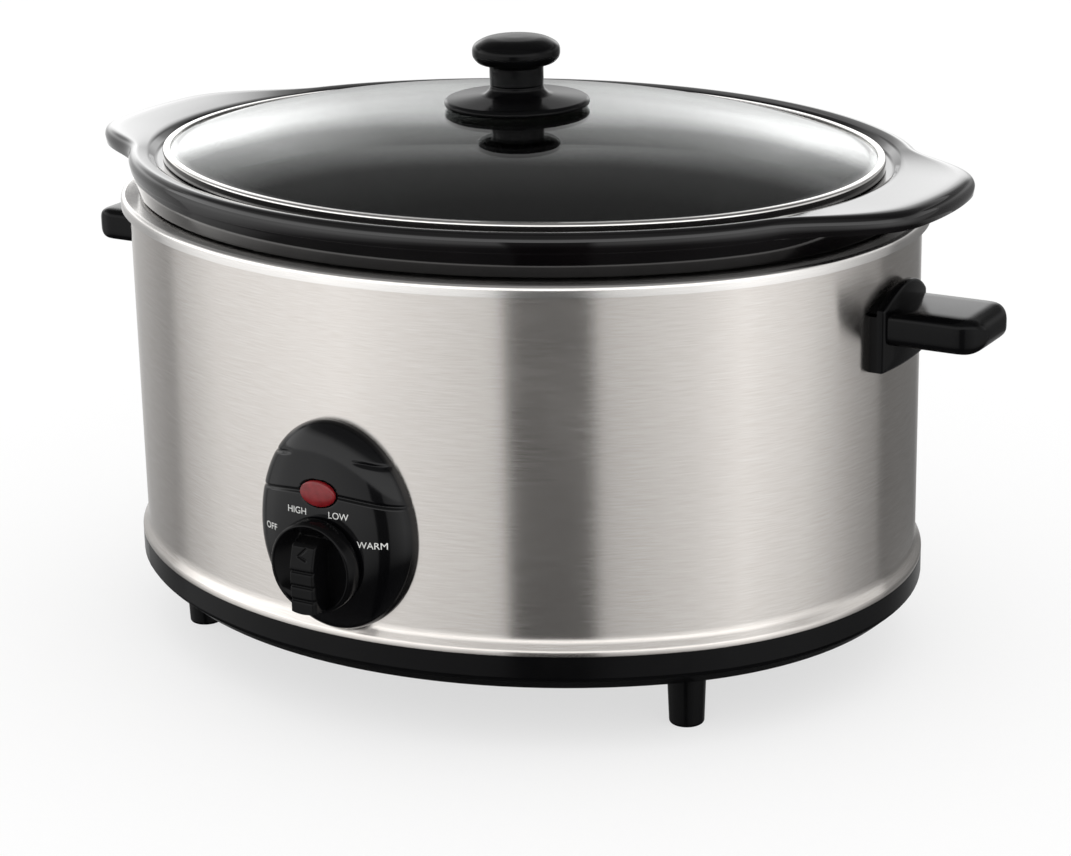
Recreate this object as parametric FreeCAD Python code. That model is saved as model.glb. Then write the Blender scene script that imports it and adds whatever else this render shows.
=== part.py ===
import FreeCAD, Part
import math
import os

# An oval slow cooker: a steel-walled heating base on four feet, a stoneware crock that lifts out
# of it, a domed glass lid on the crock and a four-position control knob on the front panel.
# Millimetres, +Z up, floor at z = 0, control panel towards -Y, handles at both X ends.

# Steel wall, in plan an oval of two end arcs and two side arcs that meet tangentially
SHELL_LENGTH = 336.0
SHELL_DEPTH = 283.0
END_ARC_INSET = 16.5
SHELL_HEIGHT = 145.0
SHELL_SHEET = 0.8
BEAD_FLARE = 2.6
BEAD_HEIGHT = 2.0
BEAD_SLOPE = 4.0
BEAD_ROUND = 1.2

# Plastic base tray and its feet
TRAY_HEIGHT = 15.2
TRAY_WALL = 2.5
TRAY_CORNER_IN = 3.6
TRAY_CORNER_RISE = 5.5
TRAY_LIP_HEIGHT = 6.8
TRAY_LIP_WALL = 1.6
FOOT_HEIGHT = 24.0
FOOT_RADIUS = 7.8
FOOT_TIP_RADIUS = 6.9
FOOT_EDGE = 1.4
FOOT_INSET_X = 52.5
FOOT_INSET_Y = 66.7
FOOT_PEG_RADIUS = 3.0
FOOT_PEG_LENGTH = 6.0
FOOT_PEG_EDGE = 1.0

# Heating liner, its wrapped heater and what holds the base together
LINER_GAP = 11.2
LINER_SHEET = 0.8
LINER_CORNER = 26.0
LINER_FLOOR_RISE = 22.2
FLANGE_OVERHANG = 3.5
FLANGE_LIP = 3.6
FLANGE_ROUND = 1.6
HEATER_THICKNESS = 2.4
HEATER_HEIGHT = 50.0
HEATER_RISE = 21.2
STRAP_THICKNESS = 0.7
STRAP_HEIGHT = 9.0
PILLAR_RADIUS = 5.0
PILLAR_SPACING_X = 150.0
PILLAR_SPACING_Y = 104.0
BASE_SCREW_RADIUS = 1.9
BASE_SCREW_LENGTH = 13.0

# Screw heads, shared by every pan-head screw
SCREW_HEAD_RADIUS = 3.3
SCREW_HEAD_HEIGHT = 2.2

# End handles
HANDLE_DROP = 32.5
HANDLE_REACH = 42.0
GRIP_WIDTH = 37.0
GRIP_THICKNESS = 14.0
GRIP_CORNER = 9.0
GRIP_EDGE = 4.5
PLATE_WIDTH = 41.0
PLATE_THICKNESS = 6.0
PLATE_BELOW = 10.0
PLATE_ABOVE = 8.5
PLATE_SHOULDER = 9.0
HANDLE_SCREW_RADIUS = 1.7
HANDLE_SCREW_LENGTH = 13.0
HANDLE_SCREW_SPACING = 20.0

# Control panel, an egg-shaped hollow cover on the front of the wall
PANEL_WIDTH = 69.0
PANEL_HEIGHT = 84.1
PANEL_BELLY = 38.6
PANEL_RISE = 3.5
PANEL_PROUD = 12.5
PANEL_WALL = 2.5
PANEL_ROUND = 8.0
PANEL_SCREW_INSET = 9.0
PANEL_SCREW_RADIUS = 1.4
PANEL_SCREW_LENGTH = 9.0
PANEL_BOSS_RADIUS = 3.3

# Indicator lens and lamp above the knob
LENS_RISE = 57.8
LENS_WIDTH = 15.6
LENS_HEIGHT = 10.2
LENS_PROUD = 0.9
LENS_EDGE = 0.7
LENS_FLANGE = 1.6
LENS_FLANGE_THICKNESS = 1.2
LAMP_RADIUS = 2.8
LAMP_LENGTH = 6.0

# Rotary switch and knob
KNOB_RISE = 29.8
KNOB_RADIUS = 18.5
KNOB_SKIRT_HEIGHT = 5.4
KNOB_SKIRT_TAPER = 1.6
KNOB_CROWN = 1.6
KNOB_HEIGHT = 12.4
KNOB_AIR = 0.6
BAR_WIDTH = 10.8
BAR_LENGTH = 26.0
BAR_CORNER = 3.6
BAR_EDGE = 1.6
NOTCH_WIDTH = 2.0
NOTCH_DEPTH = 0.8
NOTCH_PITCH = 3.6
NOTCH_COUNT = 3
SWITCH_WIDTH = 24.0
SWITCH_HEIGHT = 28.0
SWITCH_BEHIND_WALL = 7.0
BUSHING_RADIUS = 4.5
BUSHING_PROUD = 3.0
NUT_FLATS = 11.0
NUT_THICKNESS = 2.0
SHAFT_RADIUS = 3.0
SHAFT_IN_KNOB = 6.0
SHAFT_IN_SWITCH = 12.0

# Fuse, terminals, gland and internal leads
FUSE_RADIUS = 2.2
FUSE_LENGTH = 14.0
FUSE_X = -8.0
CLIP_WIDTH = 8.4
CLIP_LENGTH = 6.0
CLIP_SHEET = 0.8
TERMINAL_LENGTH = 34.0
TERMINAL_DEPTH = 16.0
TERMINAL_HEIGHT = 12.0
TERMINAL_Y = 78.0
TERMINAL_WELL_RADIUS = 3.0
TERMINAL_WELL_DEPTH = 6.0
TERMINAL_PITCH = 11.0
GLAND_BORE_RADIUS = 3.4
GLAND_WALL = 1.0
GLAND_FLANGE = 1.4
GLAND_FLANGE_THICKNESS = 2.0
GLAND_EDGE = 0.6
GLAND_INSIDE = 2.2
GLAND_RISE = 7.4
LEAD_RADIUS = 1.2
LEAD_BEND = 8.0
SUPPLY_LEAD_X = 6.0
SUPPLY_LEAD_INSET = 4.6

# Stoneware crock
CROCK_GAP = 2.2
CROCK_WALL = 6.5
CROCK_FLOOR = 7.0
CROCK_DRAFT = 8.0
CROCK_CORNER = 26.0
CROCK_FLOOR_AIR = 3.0
RIM_INSET = 0.5
RIM_HEIGHT = 17.7
RIM_WAIST = 1.5
RIM_WAIST_DROP = 8.0
RIM_ROUND = 2.0
RIM_TOP_WIDTH = 8.2
LEDGE_DROP = 4.1
GUTTER_SLOPE = 3.0
EAR_REACH = 191.0
EAR_ANGLE = 46.0
EAR_CORNER = 12.0
EAR_THICKNESS = 7.5
EAR_ROOT_INSET = 11.0
EAR_TOP_DROP = 0.3

# Glass lid
LID_INSET = 14.8
GLASS = 3.0
GLASS_EDGE = 0.6
LID_SHEET = 0.5
LID_BAND_WIDTH = 3.2
DOME_START = 4.2
DOME_RISE = 16.8
DOME_FLAT_RADIUS = 7.0
DOME_SLACK = 9.0
GASKET_RADIUS = 12.0
GASKET_THICKNESS = 0.8
KNOB_SKIRT_RADIUS = 30.0
KNOB_SKIRT_EDGE = 3.6
KNOB_SKIRT_CROWN = 1.2
KNOB_SKIRT_ROUND = 1.6
COLLAR_RADIUS = 11.0
COLLAR_FLARE = 2.4
COLLAR_HEIGHT = 3.8
STEM_RADIUS = 11.0
STEM_HEIGHT = 8.6
HEAD_RADIUS = 17.9
HEAD_HEIGHT = 11.0
HEAD_CROWN = 1.2
HEAD_UNDER = 1.4
HEAD_ROUND = 3.6
LID_SCREW_RADIUS = 2.4
LID_SCREW_GRIP = 20.0
WASHER_RADIUS = 9.0
WASHER_THICKNESS = 1.0

# Clearances
FIT_GAP = 0.1
SEAT_GAP = 0.3
HOLE_GAP = 0.2
RUNNING_GAP = 0.06
PRESS_GAP = 0.02
CUTTER_REACH = 28.0

Vector = FreeCAD.Vector
UP = Vector(0, 0, 1)
RIGHT = Vector(1, 0, 0)
REAR = Vector(0, 1, 0)
FRONT = Vector(0, -1, 0)

half_length = SHELL_LENGTH / 2
half_depth = SHELL_DEPTH / 2
end_radius = half_depth - END_ARC_INSET
end_centre = half_length - end_radius
side_centre = (end_centre ** 2 - END_ARC_INSET ** 2) / (2 * END_ARC_INSET)
side_radius = half_depth + side_centre
join_angle = math.degrees(math.atan2(side_centre, end_centre))

# Levels, stacked from the floor up
tray_bottom = FOOT_HEIGHT
tray_floor = tray_bottom + TRAY_WALL
tray_top = tray_bottom + TRAY_HEIGHT
bead_top = tray_top + BEAD_HEIGHT
wall_start = bead_top + BEAD_SLOPE
shell_top = tray_top + SHELL_HEIGHT
flange_top = shell_top + LINER_SHEET
liner_under = tray_bottom + LINER_FLOOR_RISE
liner_floor = liner_under + LINER_SHEET
rim_bottom = flange_top + SEAT_GAP
rim_top = rim_bottom + RIM_HEIGHT
ledge = rim_top - LEDGE_DROP
crock_bottom = liner_floor + CROCK_FLOOR_AIR
crock_floor = crock_bottom + CROCK_FLOOR
lid_bottom = ledge + SEAT_GAP
glass_bottom = lid_bottom + LID_SHEET + FIT_GAP
glass_top = glass_bottom + GLASS
dome_top = glass_top + DOME_RISE

# Offsets from the outside of the steel wall, inwards negative
shell_inside = -SHELL_SHEET
liner_outside = shell_inside - LINER_GAP
liner_inside = liner_outside - LINER_SHEET
crock_outside = liner_inside - CROCK_GAP
crock_inside = crock_outside - CROCK_WALL
heater_inside = liner_outside + FIT_GAP
heater_outside = heater_inside + HEATER_THICKNESS
core_offset = DOME_FLAT_RADIUS - end_radius

# Places along the front
panel_bottom = tray_top + PANEL_RISE
panel_belly = panel_bottom + PANEL_BELLY
panel_face = half_depth + PANEL_PROUD
panel_back = panel_face - PANEL_WALL
knob_z = panel_bottom + KNOB_RISE
lens_z = panel_bottom + LENS_RISE
knob_base = panel_face + KNOB_AIR
knob_front = knob_base + KNOB_HEIGHT
switch_back = half_depth - SHELL_SHEET - SWITCH_BEHIND_WALL
shaft_back = panel_back - SHAFT_IN_SWITCH
shaft_tip = knob_base + BUSHING_PROUD + KNOB_AIR / 2 + SHAFT_IN_KNOB
nut_corner = NUT_FLATS / math.sqrt(3)

# Places of the heater, fuse, leads, gland and lid fittings
heater_bottom = liner_floor + HEATER_RISE
strap_bottom = heater_bottom + (HEATER_HEIGHT - STRAP_HEIGHT) / 2
fuse_centre = Vector(FUSE_X, 0, liner_under - FIT_GAP - FUSE_RADIUS)
fuse_ends = (fuse_centre + REAR * FUSE_LENGTH / 2, fuse_centre + FRONT * FUSE_LENGTH / 2)
lead_z = tray_floor + TERMINAL_HEIGHT / 2
gland_radius = GLAND_BORE_RADIUS + GLAND_WALL
gland_z = tray_bottom + GLAND_RISE
screw_hole = LID_SCREW_RADIUS + HOLE_GAP
skirt_height = KNOB_SKIRT_EDGE + KNOB_SKIRT_CROWN + COLLAR_HEIGHT
knob_joint = dome_top + GASKET_THICKNESS + skirt_height
washer_top = dome_top - GLASS

# The wall's oval sits back from the origin, so that the origin is under the middle of the whole
gland_outside = half_depth + BEAD_FLARE + FIT_GAP + GLAND_FLANGE_THICKNESS
back_reach = max(half_depth + FLANGE_OVERHANG, gland_outside)
set_back = (knob_front - back_reach) / 2


def rounded_chain(points, radii, closed):
    """Edges through the points, each corner replaced by a tangent arc of its radius."""
    count = len(points)
    entry = list(points)
    leave = list(points)
    edges = []
    for i, radius in enumerate(radii):
        if radius > 0 and (closed or 0 < i < count - 1):
            here = points[i]
            back = (points[i - 1] - here).normalize()
            ahead = (points[(i + 1) % count] - here).normalize()
            half = back.getAngle(ahead) / 2
            entry[i] = here + back * (radius / math.tan(half))
            leave[i] = here + ahead * (radius / math.tan(half))
            middle = here + (back + ahead).normalize() * (radius / math.sin(half) - radius)
            edges.append(Part.Arc(entry[i], middle, leave[i]).toShape())
    for i in range(count if closed else count - 1):
        start = leave[i]
        end = entry[(i + 1) % count]
        if start.distanceToPoint(end) > 1e-6:
            edges.append(Part.makeLine(start, end))
    return Part.__sortEdges__(edges)


def outline_face(corners, place):
    """Flat face inside corners (u, v, radius), where place puts (u, v) into space."""
    points = [place(u, v) for u, v, radius in corners]
    radii = [radius for u, v, radius in corners]
    return Part.Face(Part.Wire(rounded_chain(points, radii, True)))


def fused(shapes):
    """One clean solid from shapes that meet or overlap."""
    return shapes[0].fuse(shapes[1:]).removeSplitter()


def oval_arcs(offset):
    """Centre, radius, start angle and sweep of the oval's four arcs at an offset."""
    side_sweep = 180 - 2 * join_angle
    return (
        (RIGHT * end_centre, end_radius + offset, -join_angle, 2 * join_angle),
        (FRONT * side_centre, side_radius + offset, join_angle, side_sweep),
        (RIGHT * -end_centre, end_radius + offset, 180 - join_angle, 2 * join_angle),
        (REAR * side_centre, side_radius + offset, 180 + join_angle, side_sweep),
    )


def oval_prism(offset, bottom, top):
    """Upright solid on the oval at an offset from the wall."""
    edges = [
        Part.makeCircle(radius, centre + UP * bottom, UP, start, start + sweep)
        for centre, radius, start, sweep in oval_arcs(offset)
    ]
    return Part.Face(Part.Wire(edges)).extrude(UP * (top - bottom))


def oval_ring(corners):
    """Solid ring: a section with corners (offset, z, radius) carried round the oval."""
    sectors = []
    for centre, radius, start, sweep in oval_arcs(0):
        angle = math.radians(start)
        outward = Vector(math.cos(angle), math.sin(angle), 0)
        section = outline_face(corners, lambda d, z: centre + outward * (radius + d) + UP * z)
        sectors.append(section.revolve(centre, UP, sweep))
    return fused(sectors)


def front_y(x, offset):
    """Y of the oval's front at x, for an offset from the wall."""
    return side_centre - math.sqrt((side_radius + offset) ** 2 - x ** 2)


def turned(corners, base, axis):
    """Solid of revolution: section corners (radius, height, rounding) about an axis from base."""
    across = REAR if abs(axis.x) > 0.5 else RIGHT
    section = outline_face(corners, lambda r, h: base + across * r + axis * h)
    return section.revolve(base, axis, 360)


def rod(radius, start, end):
    """Plain round bar between two points."""
    return Part.makeCylinder(radius, start.distanceToPoint(end), start, end - start)


def block(low, high):
    """Square-cornered box between two corners."""
    size = high - low
    return Part.makeBox(size.x, size.y, size.z, low)


def pan_screw(base, axis, radius, length):
    """Pan-head screw whose head sits behind base and whose shank runs along the axis."""
    corners = [
        (0, -SCREW_HEAD_HEIGHT, 0),
        (SCREW_HEAD_RADIUS, -SCREW_HEAD_HEIGHT, SCREW_HEAD_HEIGHT / 2),
        (SCREW_HEAD_RADIUS, 0, 0),
        (radius, 0, 0),
        (radius, length, 0),
        (0, length, 0),
    ]
    return turned(corners, base, axis)


def tube(points):
    """Insulated lead along straight runs joined by tangent arcs."""
    edges = rounded_chain(points, [LEAD_BEND] * len(points), False)
    start = Part.makeCircle(LEAD_RADIUS, points[0], points[1] - points[0])
    return Part.Wire(edges).makePipeShell([Part.Wire(start)], True, False)


def half_oval(half_width, height, centre, up):
    """Half ellipse over the width line through centre, its top at centre + up * height."""
    tip = centre + up * height
    side = centre + RIGHT * half_width
    if height >= half_width:
        return Part.ArcOfEllipse(Part.Ellipse(tip, side, centre), -math.pi / 2, math.pi / 2).toShape()
    return Part.ArcOfEllipse(Part.Ellipse(side, tip, centre), 0, math.pi).toShape()


def egg_prism(half_width, above, below, centre, back, front):
    """Solid along Y with an egg outline: half ellipses above and below its widest level."""
    middle = centre + FRONT * back
    wire = Part.Wire([half_oval(half_width, above, middle, UP), half_oval(half_width, below, middle, -UP)])
    return Part.Face(wire).extrude(FRONT * (front - back))


def edges_on_plane(shape, axis, height):
    """Edges of the shape that lie in the plane at that height along the axis."""
    found = []
    for edge in shape.Edges:
        points = edge.discretize(5)
        if max(abs(point.dot(axis) - height) for point in points) < 1e-6:
            found.append(edge)
    return found


def grid(spacing_x, spacing_y):
    """Four points of a rectangle round the centre."""
    return [Vector(sx * spacing_x / 2, sy * spacing_y / 2, 0) for sx in (-1, 1) for sy in (-1, 1)]


def screw_holes(radius, places):
    """Round cutters through a sheet or floor, along the axis at each place."""
    reach = CUTTER_REACH
    return [rod(radius, place - axis * reach, place + axis * reach) for place, axis in places]


# Places of the fasteners: each a seat point and the direction in which the screw is driven
foot_spots = grid(SHELL_LENGTH - 2 * FOOT_INSET_X, SHELL_DEPTH - 2 * FOOT_INSET_Y)
pillar_spots = grid(PILLAR_SPACING_X, PILLAR_SPACING_Y)
base_screw_places = [(spot + UP * tray_bottom, UP) for spot in pillar_spots]
handle_z = shell_top - HANDLE_DROP
handle_screw_places = []
for side in (-1, 1):
    for step in (-0.5, 0.5):
        y = step * HANDLE_SCREW_SPACING
        x = end_centre + math.sqrt((end_radius + shell_inside - FIT_GAP) ** 2 - y ** 2) - FIT_GAP * 2
        handle_screw_places.append((Vector(side * x, y, handle_z), RIGHT * side))
panel_screw_places = []
for z in (panel_bottom + PANEL_SCREW_INSET, panel_bottom + PANEL_HEIGHT - PANEL_SCREW_INSET):
    panel_screw_places.append((Vector(0, front_y(0, shell_inside - FIT_GAP), z), FRONT))

knob_centre = Vector(0, 0, knob_z)
lens_centre = Vector(0, 0, lens_z)
panel_centre = Vector(0, 0, panel_belly)
panel_above = PANEL_HEIGHT - PANEL_BELLY
supply_y = front_y(SUPPLY_LEAD_X, -SUPPLY_LEAD_INSET)
heater_lead_y = front_y(FUSE_X, (heater_inside + heater_outside) / 2)


def make_outer_shell():
    """Rolled steel wall with a flared bead at its foot and cut-outs behind the panel and handles."""
    wall = oval_ring([
        (0, shell_top, 0),
        (0, wall_start, BEAD_ROUND),
        (BEAD_FLARE, bead_top, BEAD_ROUND),
        (BEAD_FLARE, tray_top, 0),
        (BEAD_FLARE - SHELL_SHEET, tray_top, 0),
        (BEAD_FLARE - SHELL_SHEET, bead_top, BEAD_ROUND),
        (shell_inside, wall_start, BEAD_ROUND),
        (shell_inside, shell_top, 0),
    ])
    window = block(
        Vector(-SWITCH_WIDTH / 2 - HOLE_GAP, -panel_face, knob_z - SWITCH_HEIGHT / 2 - HOLE_GAP),
        Vector(SWITCH_WIDTH / 2 + HOLE_GAP, -switch_back, knob_z + SWITCH_HEIGHT / 2 + HOLE_GAP),
    )
    cutters = [window]
    cutters += screw_holes(HANDLE_SCREW_RADIUS + HOLE_GAP, handle_screw_places)
    cutters += screw_holes(PANEL_SCREW_RADIUS + HOLE_GAP, panel_screw_places)
    return wall.cut(cutters)


def make_heating_liner():
    """Pressed steel well whose flange rolls over the top edge of the wall."""
    wall = oval_ring([
        (core_offset, liner_under, 0),
        (liner_outside, liner_under, LINER_CORNER),
        (liner_outside, shell_top, LINER_SHEET),
        (FLANGE_OVERHANG - LINER_SHEET, shell_top, FLANGE_ROUND),
        (FLANGE_OVERHANG - LINER_SHEET, shell_top - FLANGE_LIP, 0),
        (FLANGE_OVERHANG, shell_top - FLANGE_LIP, 0),
        (FLANGE_OVERHANG, flange_top, FLANGE_ROUND + LINER_SHEET),
        (liner_inside, flange_top, 2 * LINER_SHEET),
        (liner_inside, liner_floor, LINER_CORNER - LINER_SHEET),
        (core_offset, liner_floor, 0),
    ])
    return fused([wall, oval_prism(core_offset, liner_under, liner_floor)])


def flat_band(inside, thickness, bottom, height):
    """Plain band round the oval."""
    top = bottom + height
    return oval_prism(inside + thickness, bottom, top).cut(oval_prism(inside, bottom, top))


def make_base_tray():
    """Moulded tray under the wall, with a lip inside the wall and holes for pegs, screws and gland."""
    lip_outside = shell_inside - SEAT_GAP
    lip_inside = lip_outside - TRAY_LIP_WALL
    wall_inside = BEAD_FLARE - TRAY_WALL
    ring = oval_ring([
        (core_offset, tray_bottom, 0),
        (-TRAY_CORNER_IN, tray_bottom, TRAY_WALL / 2),
        (BEAD_FLARE, tray_bottom + TRAY_CORNER_RISE, TRAY_WALL),
        (BEAD_FLARE, tray_top, 0),
        (lip_outside, tray_top, 0),
        (lip_outside, tray_top + TRAY_LIP_HEIGHT, 0),
        (lip_inside, tray_top + TRAY_LIP_HEIGHT, 0),
        (lip_inside, tray_top - TRAY_LIP_WALL / 2, 0),
        (wall_inside, tray_top - TRAY_LIP_WALL, 0),
        (wall_inside, tray_bottom + TRAY_CORNER_RISE + TRAY_WALL / 2, TRAY_WALL / 2),
        (-TRAY_CORNER_IN - TRAY_WALL / 2, tray_floor, TRAY_WALL / 2),
        (core_offset, tray_floor, 0),
    ])
    tray = fused([ring, oval_prism(core_offset, tray_bottom, tray_floor)])
    cutters = screw_holes(BASE_SCREW_RADIUS + HOLE_GAP, base_screw_places)
    foot_places = [(spot + UP * tray_bottom, UP) for spot in foot_spots]
    cutters += screw_holes(FOOT_PEG_RADIUS + FIT_GAP, foot_places)
    gland_start = UP * gland_z + REAR * half_depth / 2
    gland_end = UP * gland_z + REAR * SHELL_DEPTH
    cutters.append(rod(gland_radius + FIT_GAP, gland_start, gland_end))
    return tray.cut(cutters)


def make_foot(spot):
    """Moulded foot, tapered to its tip, pegged into the tray."""
    corners = [
        (0, 0, 0),
        (FOOT_TIP_RADIUS, 0, FOOT_EDGE),
        (FOOT_RADIUS, FOOT_HEIGHT, 0),
        (FOOT_PEG_RADIUS, FOOT_HEIGHT, 0),
        (FOOT_PEG_RADIUS, FOOT_HEIGHT + FOOT_PEG_LENGTH, FOOT_PEG_EDGE),
        (0, FOOT_HEIGHT + FOOT_PEG_LENGTH, 0),
    ]
    return turned(corners, spot, UP)


def make_pillar(spot):
    """Steel spacer between the tray floor and the liner, bored for a base screw."""
    low = spot + UP * tray_floor
    high = spot + UP * liner_under
    bore = rod(BASE_SCREW_RADIUS + FIT_GAP, low, low + UP * BASE_SCREW_LENGTH)
    return rod(PILLAR_RADIUS, low, high).cut(bore)


def make_handle(side):
    """Moulded handle: a plate curved to the wall, and a flat grip standing out from it."""
    grip_low = handle_z - GRIP_THICKNESS / 2
    grip_high = handle_z + GRIP_THICKNESS / 2
    tip = half_length + HANDLE_REACH
    root = half_length - PLATE_THICKNESS
    grip_outline = [
        (root, -GRIP_WIDTH / 2, 0),
        (tip, -GRIP_WIDTH / 2, GRIP_CORNER),
        (tip, GRIP_WIDTH / 2, GRIP_CORNER),
        (root, GRIP_WIDTH / 2, 0),
    ]
    grip = outline_face(grip_outline, lambda x, y: Vector(x, y, grip_low)).extrude(UP * GRIP_THICKNESS)
    rims = edges_on_plane(grip, UP, grip_low) + edges_on_plane(grip, UP, grip_high)
    rims = [edge for edge in rims if edge.BoundBox.XMax > root + GRIP_EDGE]
    grip = grip.makeFillet(GRIP_EDGE, rims)
    half_plate = PLATE_WIDTH / 2
    shoulder = grip_high + PLATE_ABOVE - PLATE_SHOULDER
    plate_outline = [
        (-half_plate, grip_low - PLATE_BELOW, PLATE_SHOULDER / 2),
        (half_plate, grip_low - PLATE_BELOW, PLATE_SHOULDER / 2),
        (half_plate, shoulder, PLATE_SHOULDER / 2),
        (half_plate / 2, grip_high + PLATE_ABOVE, PLATE_SHOULDER),
        (-half_plate / 2, grip_high + PLATE_ABOVE, PLATE_SHOULDER),
        (-half_plate, shoulder, PLATE_SHOULDER / 2),
    ]
    plate = outline_face(plate_outline, lambda y, z: Vector(root - PLATE_WIDTH / 2, y, z))
    plate = plate.extrude(RIGHT * (PLATE_WIDTH + PLATE_THICKNESS))
    plate = plate.common(oval_prism(PLATE_THICKNESS, 0, rim_top))
    solid = fused([plate, grip]).cut(oval_prism(FIT_GAP, 0, rim_top))
    if side < 0:
        solid = solid.mirror(Vector(0, 0, 0), RIGHT)
    ends = [(place, axis) for place, axis in handle_screw_places if axis.x * side > 0]
    bores = [
        rod(HANDLE_SCREW_RADIUS + FIT_GAP, place, place + axis * (HANDLE_SCREW_LENGTH + HOLE_GAP))
        for place, axis in ends
    ]
    return solid.cut(bores)


def make_control_panel():
    """Hollow egg-shaped cover with rounded front edge, screw bosses, and holes for switch and lens."""
    half_width = PANEL_WIDTH / 2
    cover = egg_prism(half_width, panel_above, PANEL_BELLY, panel_centre, half_depth / 2, panel_face)
    cover = cover.makeFillet(PANEL_ROUND, edges_on_plane(cover, FRONT, panel_face))
    hollow = egg_prism(
        half_width - PANEL_WALL, panel_above - PANEL_WALL, PANEL_BELLY - PANEL_WALL,
        panel_centre, half_depth / 2, panel_back,
    )
    hollow_round = PANEL_ROUND - PANEL_WALL
    hollow = hollow.makeFillet(hollow_round, edges_on_plane(hollow, FRONT, panel_back))
    bosses = []
    bores = []
    for place, axis in panel_screw_places:
        inner_face = Vector(0, -panel_back - PANEL_WALL / 2, place.z)
        bosses.append(rod(PANEL_BOSS_RADIUS, place, inner_face))
        bores.append(rod(PANEL_SCREW_RADIUS + FIT_GAP, place, place + axis * (PANEL_SCREW_LENGTH + HOLE_GAP)))
    wall = oval_prism(FIT_GAP, 0, rim_top)
    bead = oval_prism(BEAD_FLARE + FIT_GAP, 0, wall_start + BEAD_ROUND)
    solid = fused([cover.cut(hollow)] + bosses).cut([wall, bead])
    hole_start = knob_centre + FRONT * half_depth
    hole_end = knob_centre + FRONT * knob_front
    switch_hole = rod(BUSHING_RADIUS + FIT_GAP, hole_start, hole_end)
    lens_hole = egg_prism(
        LENS_WIDTH / 2 + FIT_GAP, LENS_HEIGHT / 2 + FIT_GAP, LENS_HEIGHT / 2 + FIT_GAP,
        lens_centre, half_depth, knob_front,
    )
    return solid.cut(bores + [switch_hole, lens_hole])


def make_indicator_lens():
    """Clear red oval lens, flanged behind the panel, its front edge rounded."""
    flange_back = panel_back - FIT_GAP - LENS_FLANGE_THICKNESS
    half_width = LENS_WIDTH / 2
    half_height = LENS_HEIGHT / 2
    lens_front = panel_face + LENS_PROUD
    face = egg_prism(half_width, half_height, half_height, lens_centre, flange_back, lens_front)
    face = face.makeFillet(LENS_EDGE, edges_on_plane(face, FRONT, lens_front))
    flange = egg_prism(
        half_width + LENS_FLANGE, half_height + LENS_FLANGE, half_height + LENS_FLANGE,
        lens_centre, flange_back, flange_back + LENS_FLANGE_THICKNESS,
    )
    return fused([face, flange])


def make_indicator_lamp():
    """Neon lamp behind the lens, a glass bulb with a rounded back."""
    lens_back = panel_back - FIT_GAP - LENS_FLANGE_THICKNESS
    corners = [
        (0, 0, 0),
        (LAMP_RADIUS, 0, 0),
        (LAMP_RADIUS, LAMP_LENGTH, LAMP_RADIUS / 2),
        (0, LAMP_LENGTH, 0),
    ]
    return turned(corners, lens_centre + FRONT * lens_back, REAR)


def make_switch_body():
    """Rotary switch in the window of the wall, its threaded bushing through the panel."""
    body = block(
        Vector(-SWITCH_WIDTH / 2, -panel_back, knob_z - SWITCH_HEIGHT / 2),
        Vector(SWITCH_WIDTH / 2, -switch_back, knob_z + SWITCH_HEIGHT / 2),
    )
    bushing_end = knob_centre + FRONT * (panel_face + BUSHING_PROUD)
    bushing = rod(BUSHING_RADIUS, knob_centre + FRONT * panel_back, bushing_end)
    bore = rod(SHAFT_RADIUS + RUNNING_GAP, knob_centre + FRONT * shaft_back, knob_centre + FRONT * knob_front)
    return fused([body, bushing]).cut(bore)


def make_switch_nut():
    """Hexagon nut on the bushing, tight on the panel face under the knob."""
    angles = [i * math.pi / 3 for i in range(6)]
    points = [(nut_corner * math.cos(angle), nut_corner * math.sin(angle), 0) for angle in angles]
    nut = outline_face(points, lambda x, z: Vector(x, -panel_face, knob_z + z)).extrude(FRONT * NUT_THICKNESS)
    return nut.cut(rod(BUSHING_RADIUS + RUNNING_GAP, knob_centre, knob_centre + FRONT * knob_front))


def make_control_knob():
    """Moulded knob: a round skirt, a grip bar across it and three notches on the bar's face."""
    base = knob_centre + FRONT * knob_base
    recess_radius = nut_corner + KNOB_AIR
    recess = BUSHING_PROUD + KNOB_AIR / 2
    crown = KNOB_SKIRT_HEIGHT + KNOB_CROWN
    skirt = turned([
        (recess_radius, 0, 0),
        (KNOB_RADIUS, 0, KNOB_AIR / 2),
        (KNOB_RADIUS - KNOB_SKIRT_TAPER, KNOB_SKIRT_HEIGHT, KNOB_SKIRT_TAPER),
        (0, crown, 0),
        (0, recess, 0),
        (recess_radius, recess, 0),
    ], base, FRONT)
    half_width = BAR_WIDTH / 2
    half_bar = BAR_LENGTH / 2
    bar_outline = [
        (-half_width, -half_bar, BAR_CORNER),
        (half_width, -half_bar, BAR_CORNER),
        (half_width, half_bar, BAR_CORNER),
        (-half_width, half_bar, BAR_CORNER),
    ]
    foot_y = -knob_base - recess
    bar = outline_face(bar_outline, lambda x, z: Vector(x, foot_y, knob_z + z))
    bar = bar.extrude(FRONT * (KNOB_HEIGHT - recess))
    bar = bar.makeFillet(BAR_EDGE, edges_on_plane(bar, FRONT, knob_front))
    cutters = [rod(SHAFT_RADIUS + PRESS_GAP, base, base + FRONT * (recess + SHAFT_IN_KNOB + HOLE_GAP))]
    for i in range(NOTCH_COUNT):
        z = knob_z - half_bar + BAR_CORNER + i * NOTCH_PITCH
        cutters.append(block(
            Vector(-BAR_WIDTH, -knob_front, z),
            Vector(BAR_WIDTH, -knob_front + NOTCH_DEPTH, z + NOTCH_WIDTH),
        ))
    return fused([skirt, bar]).cut(cutters)


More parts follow.
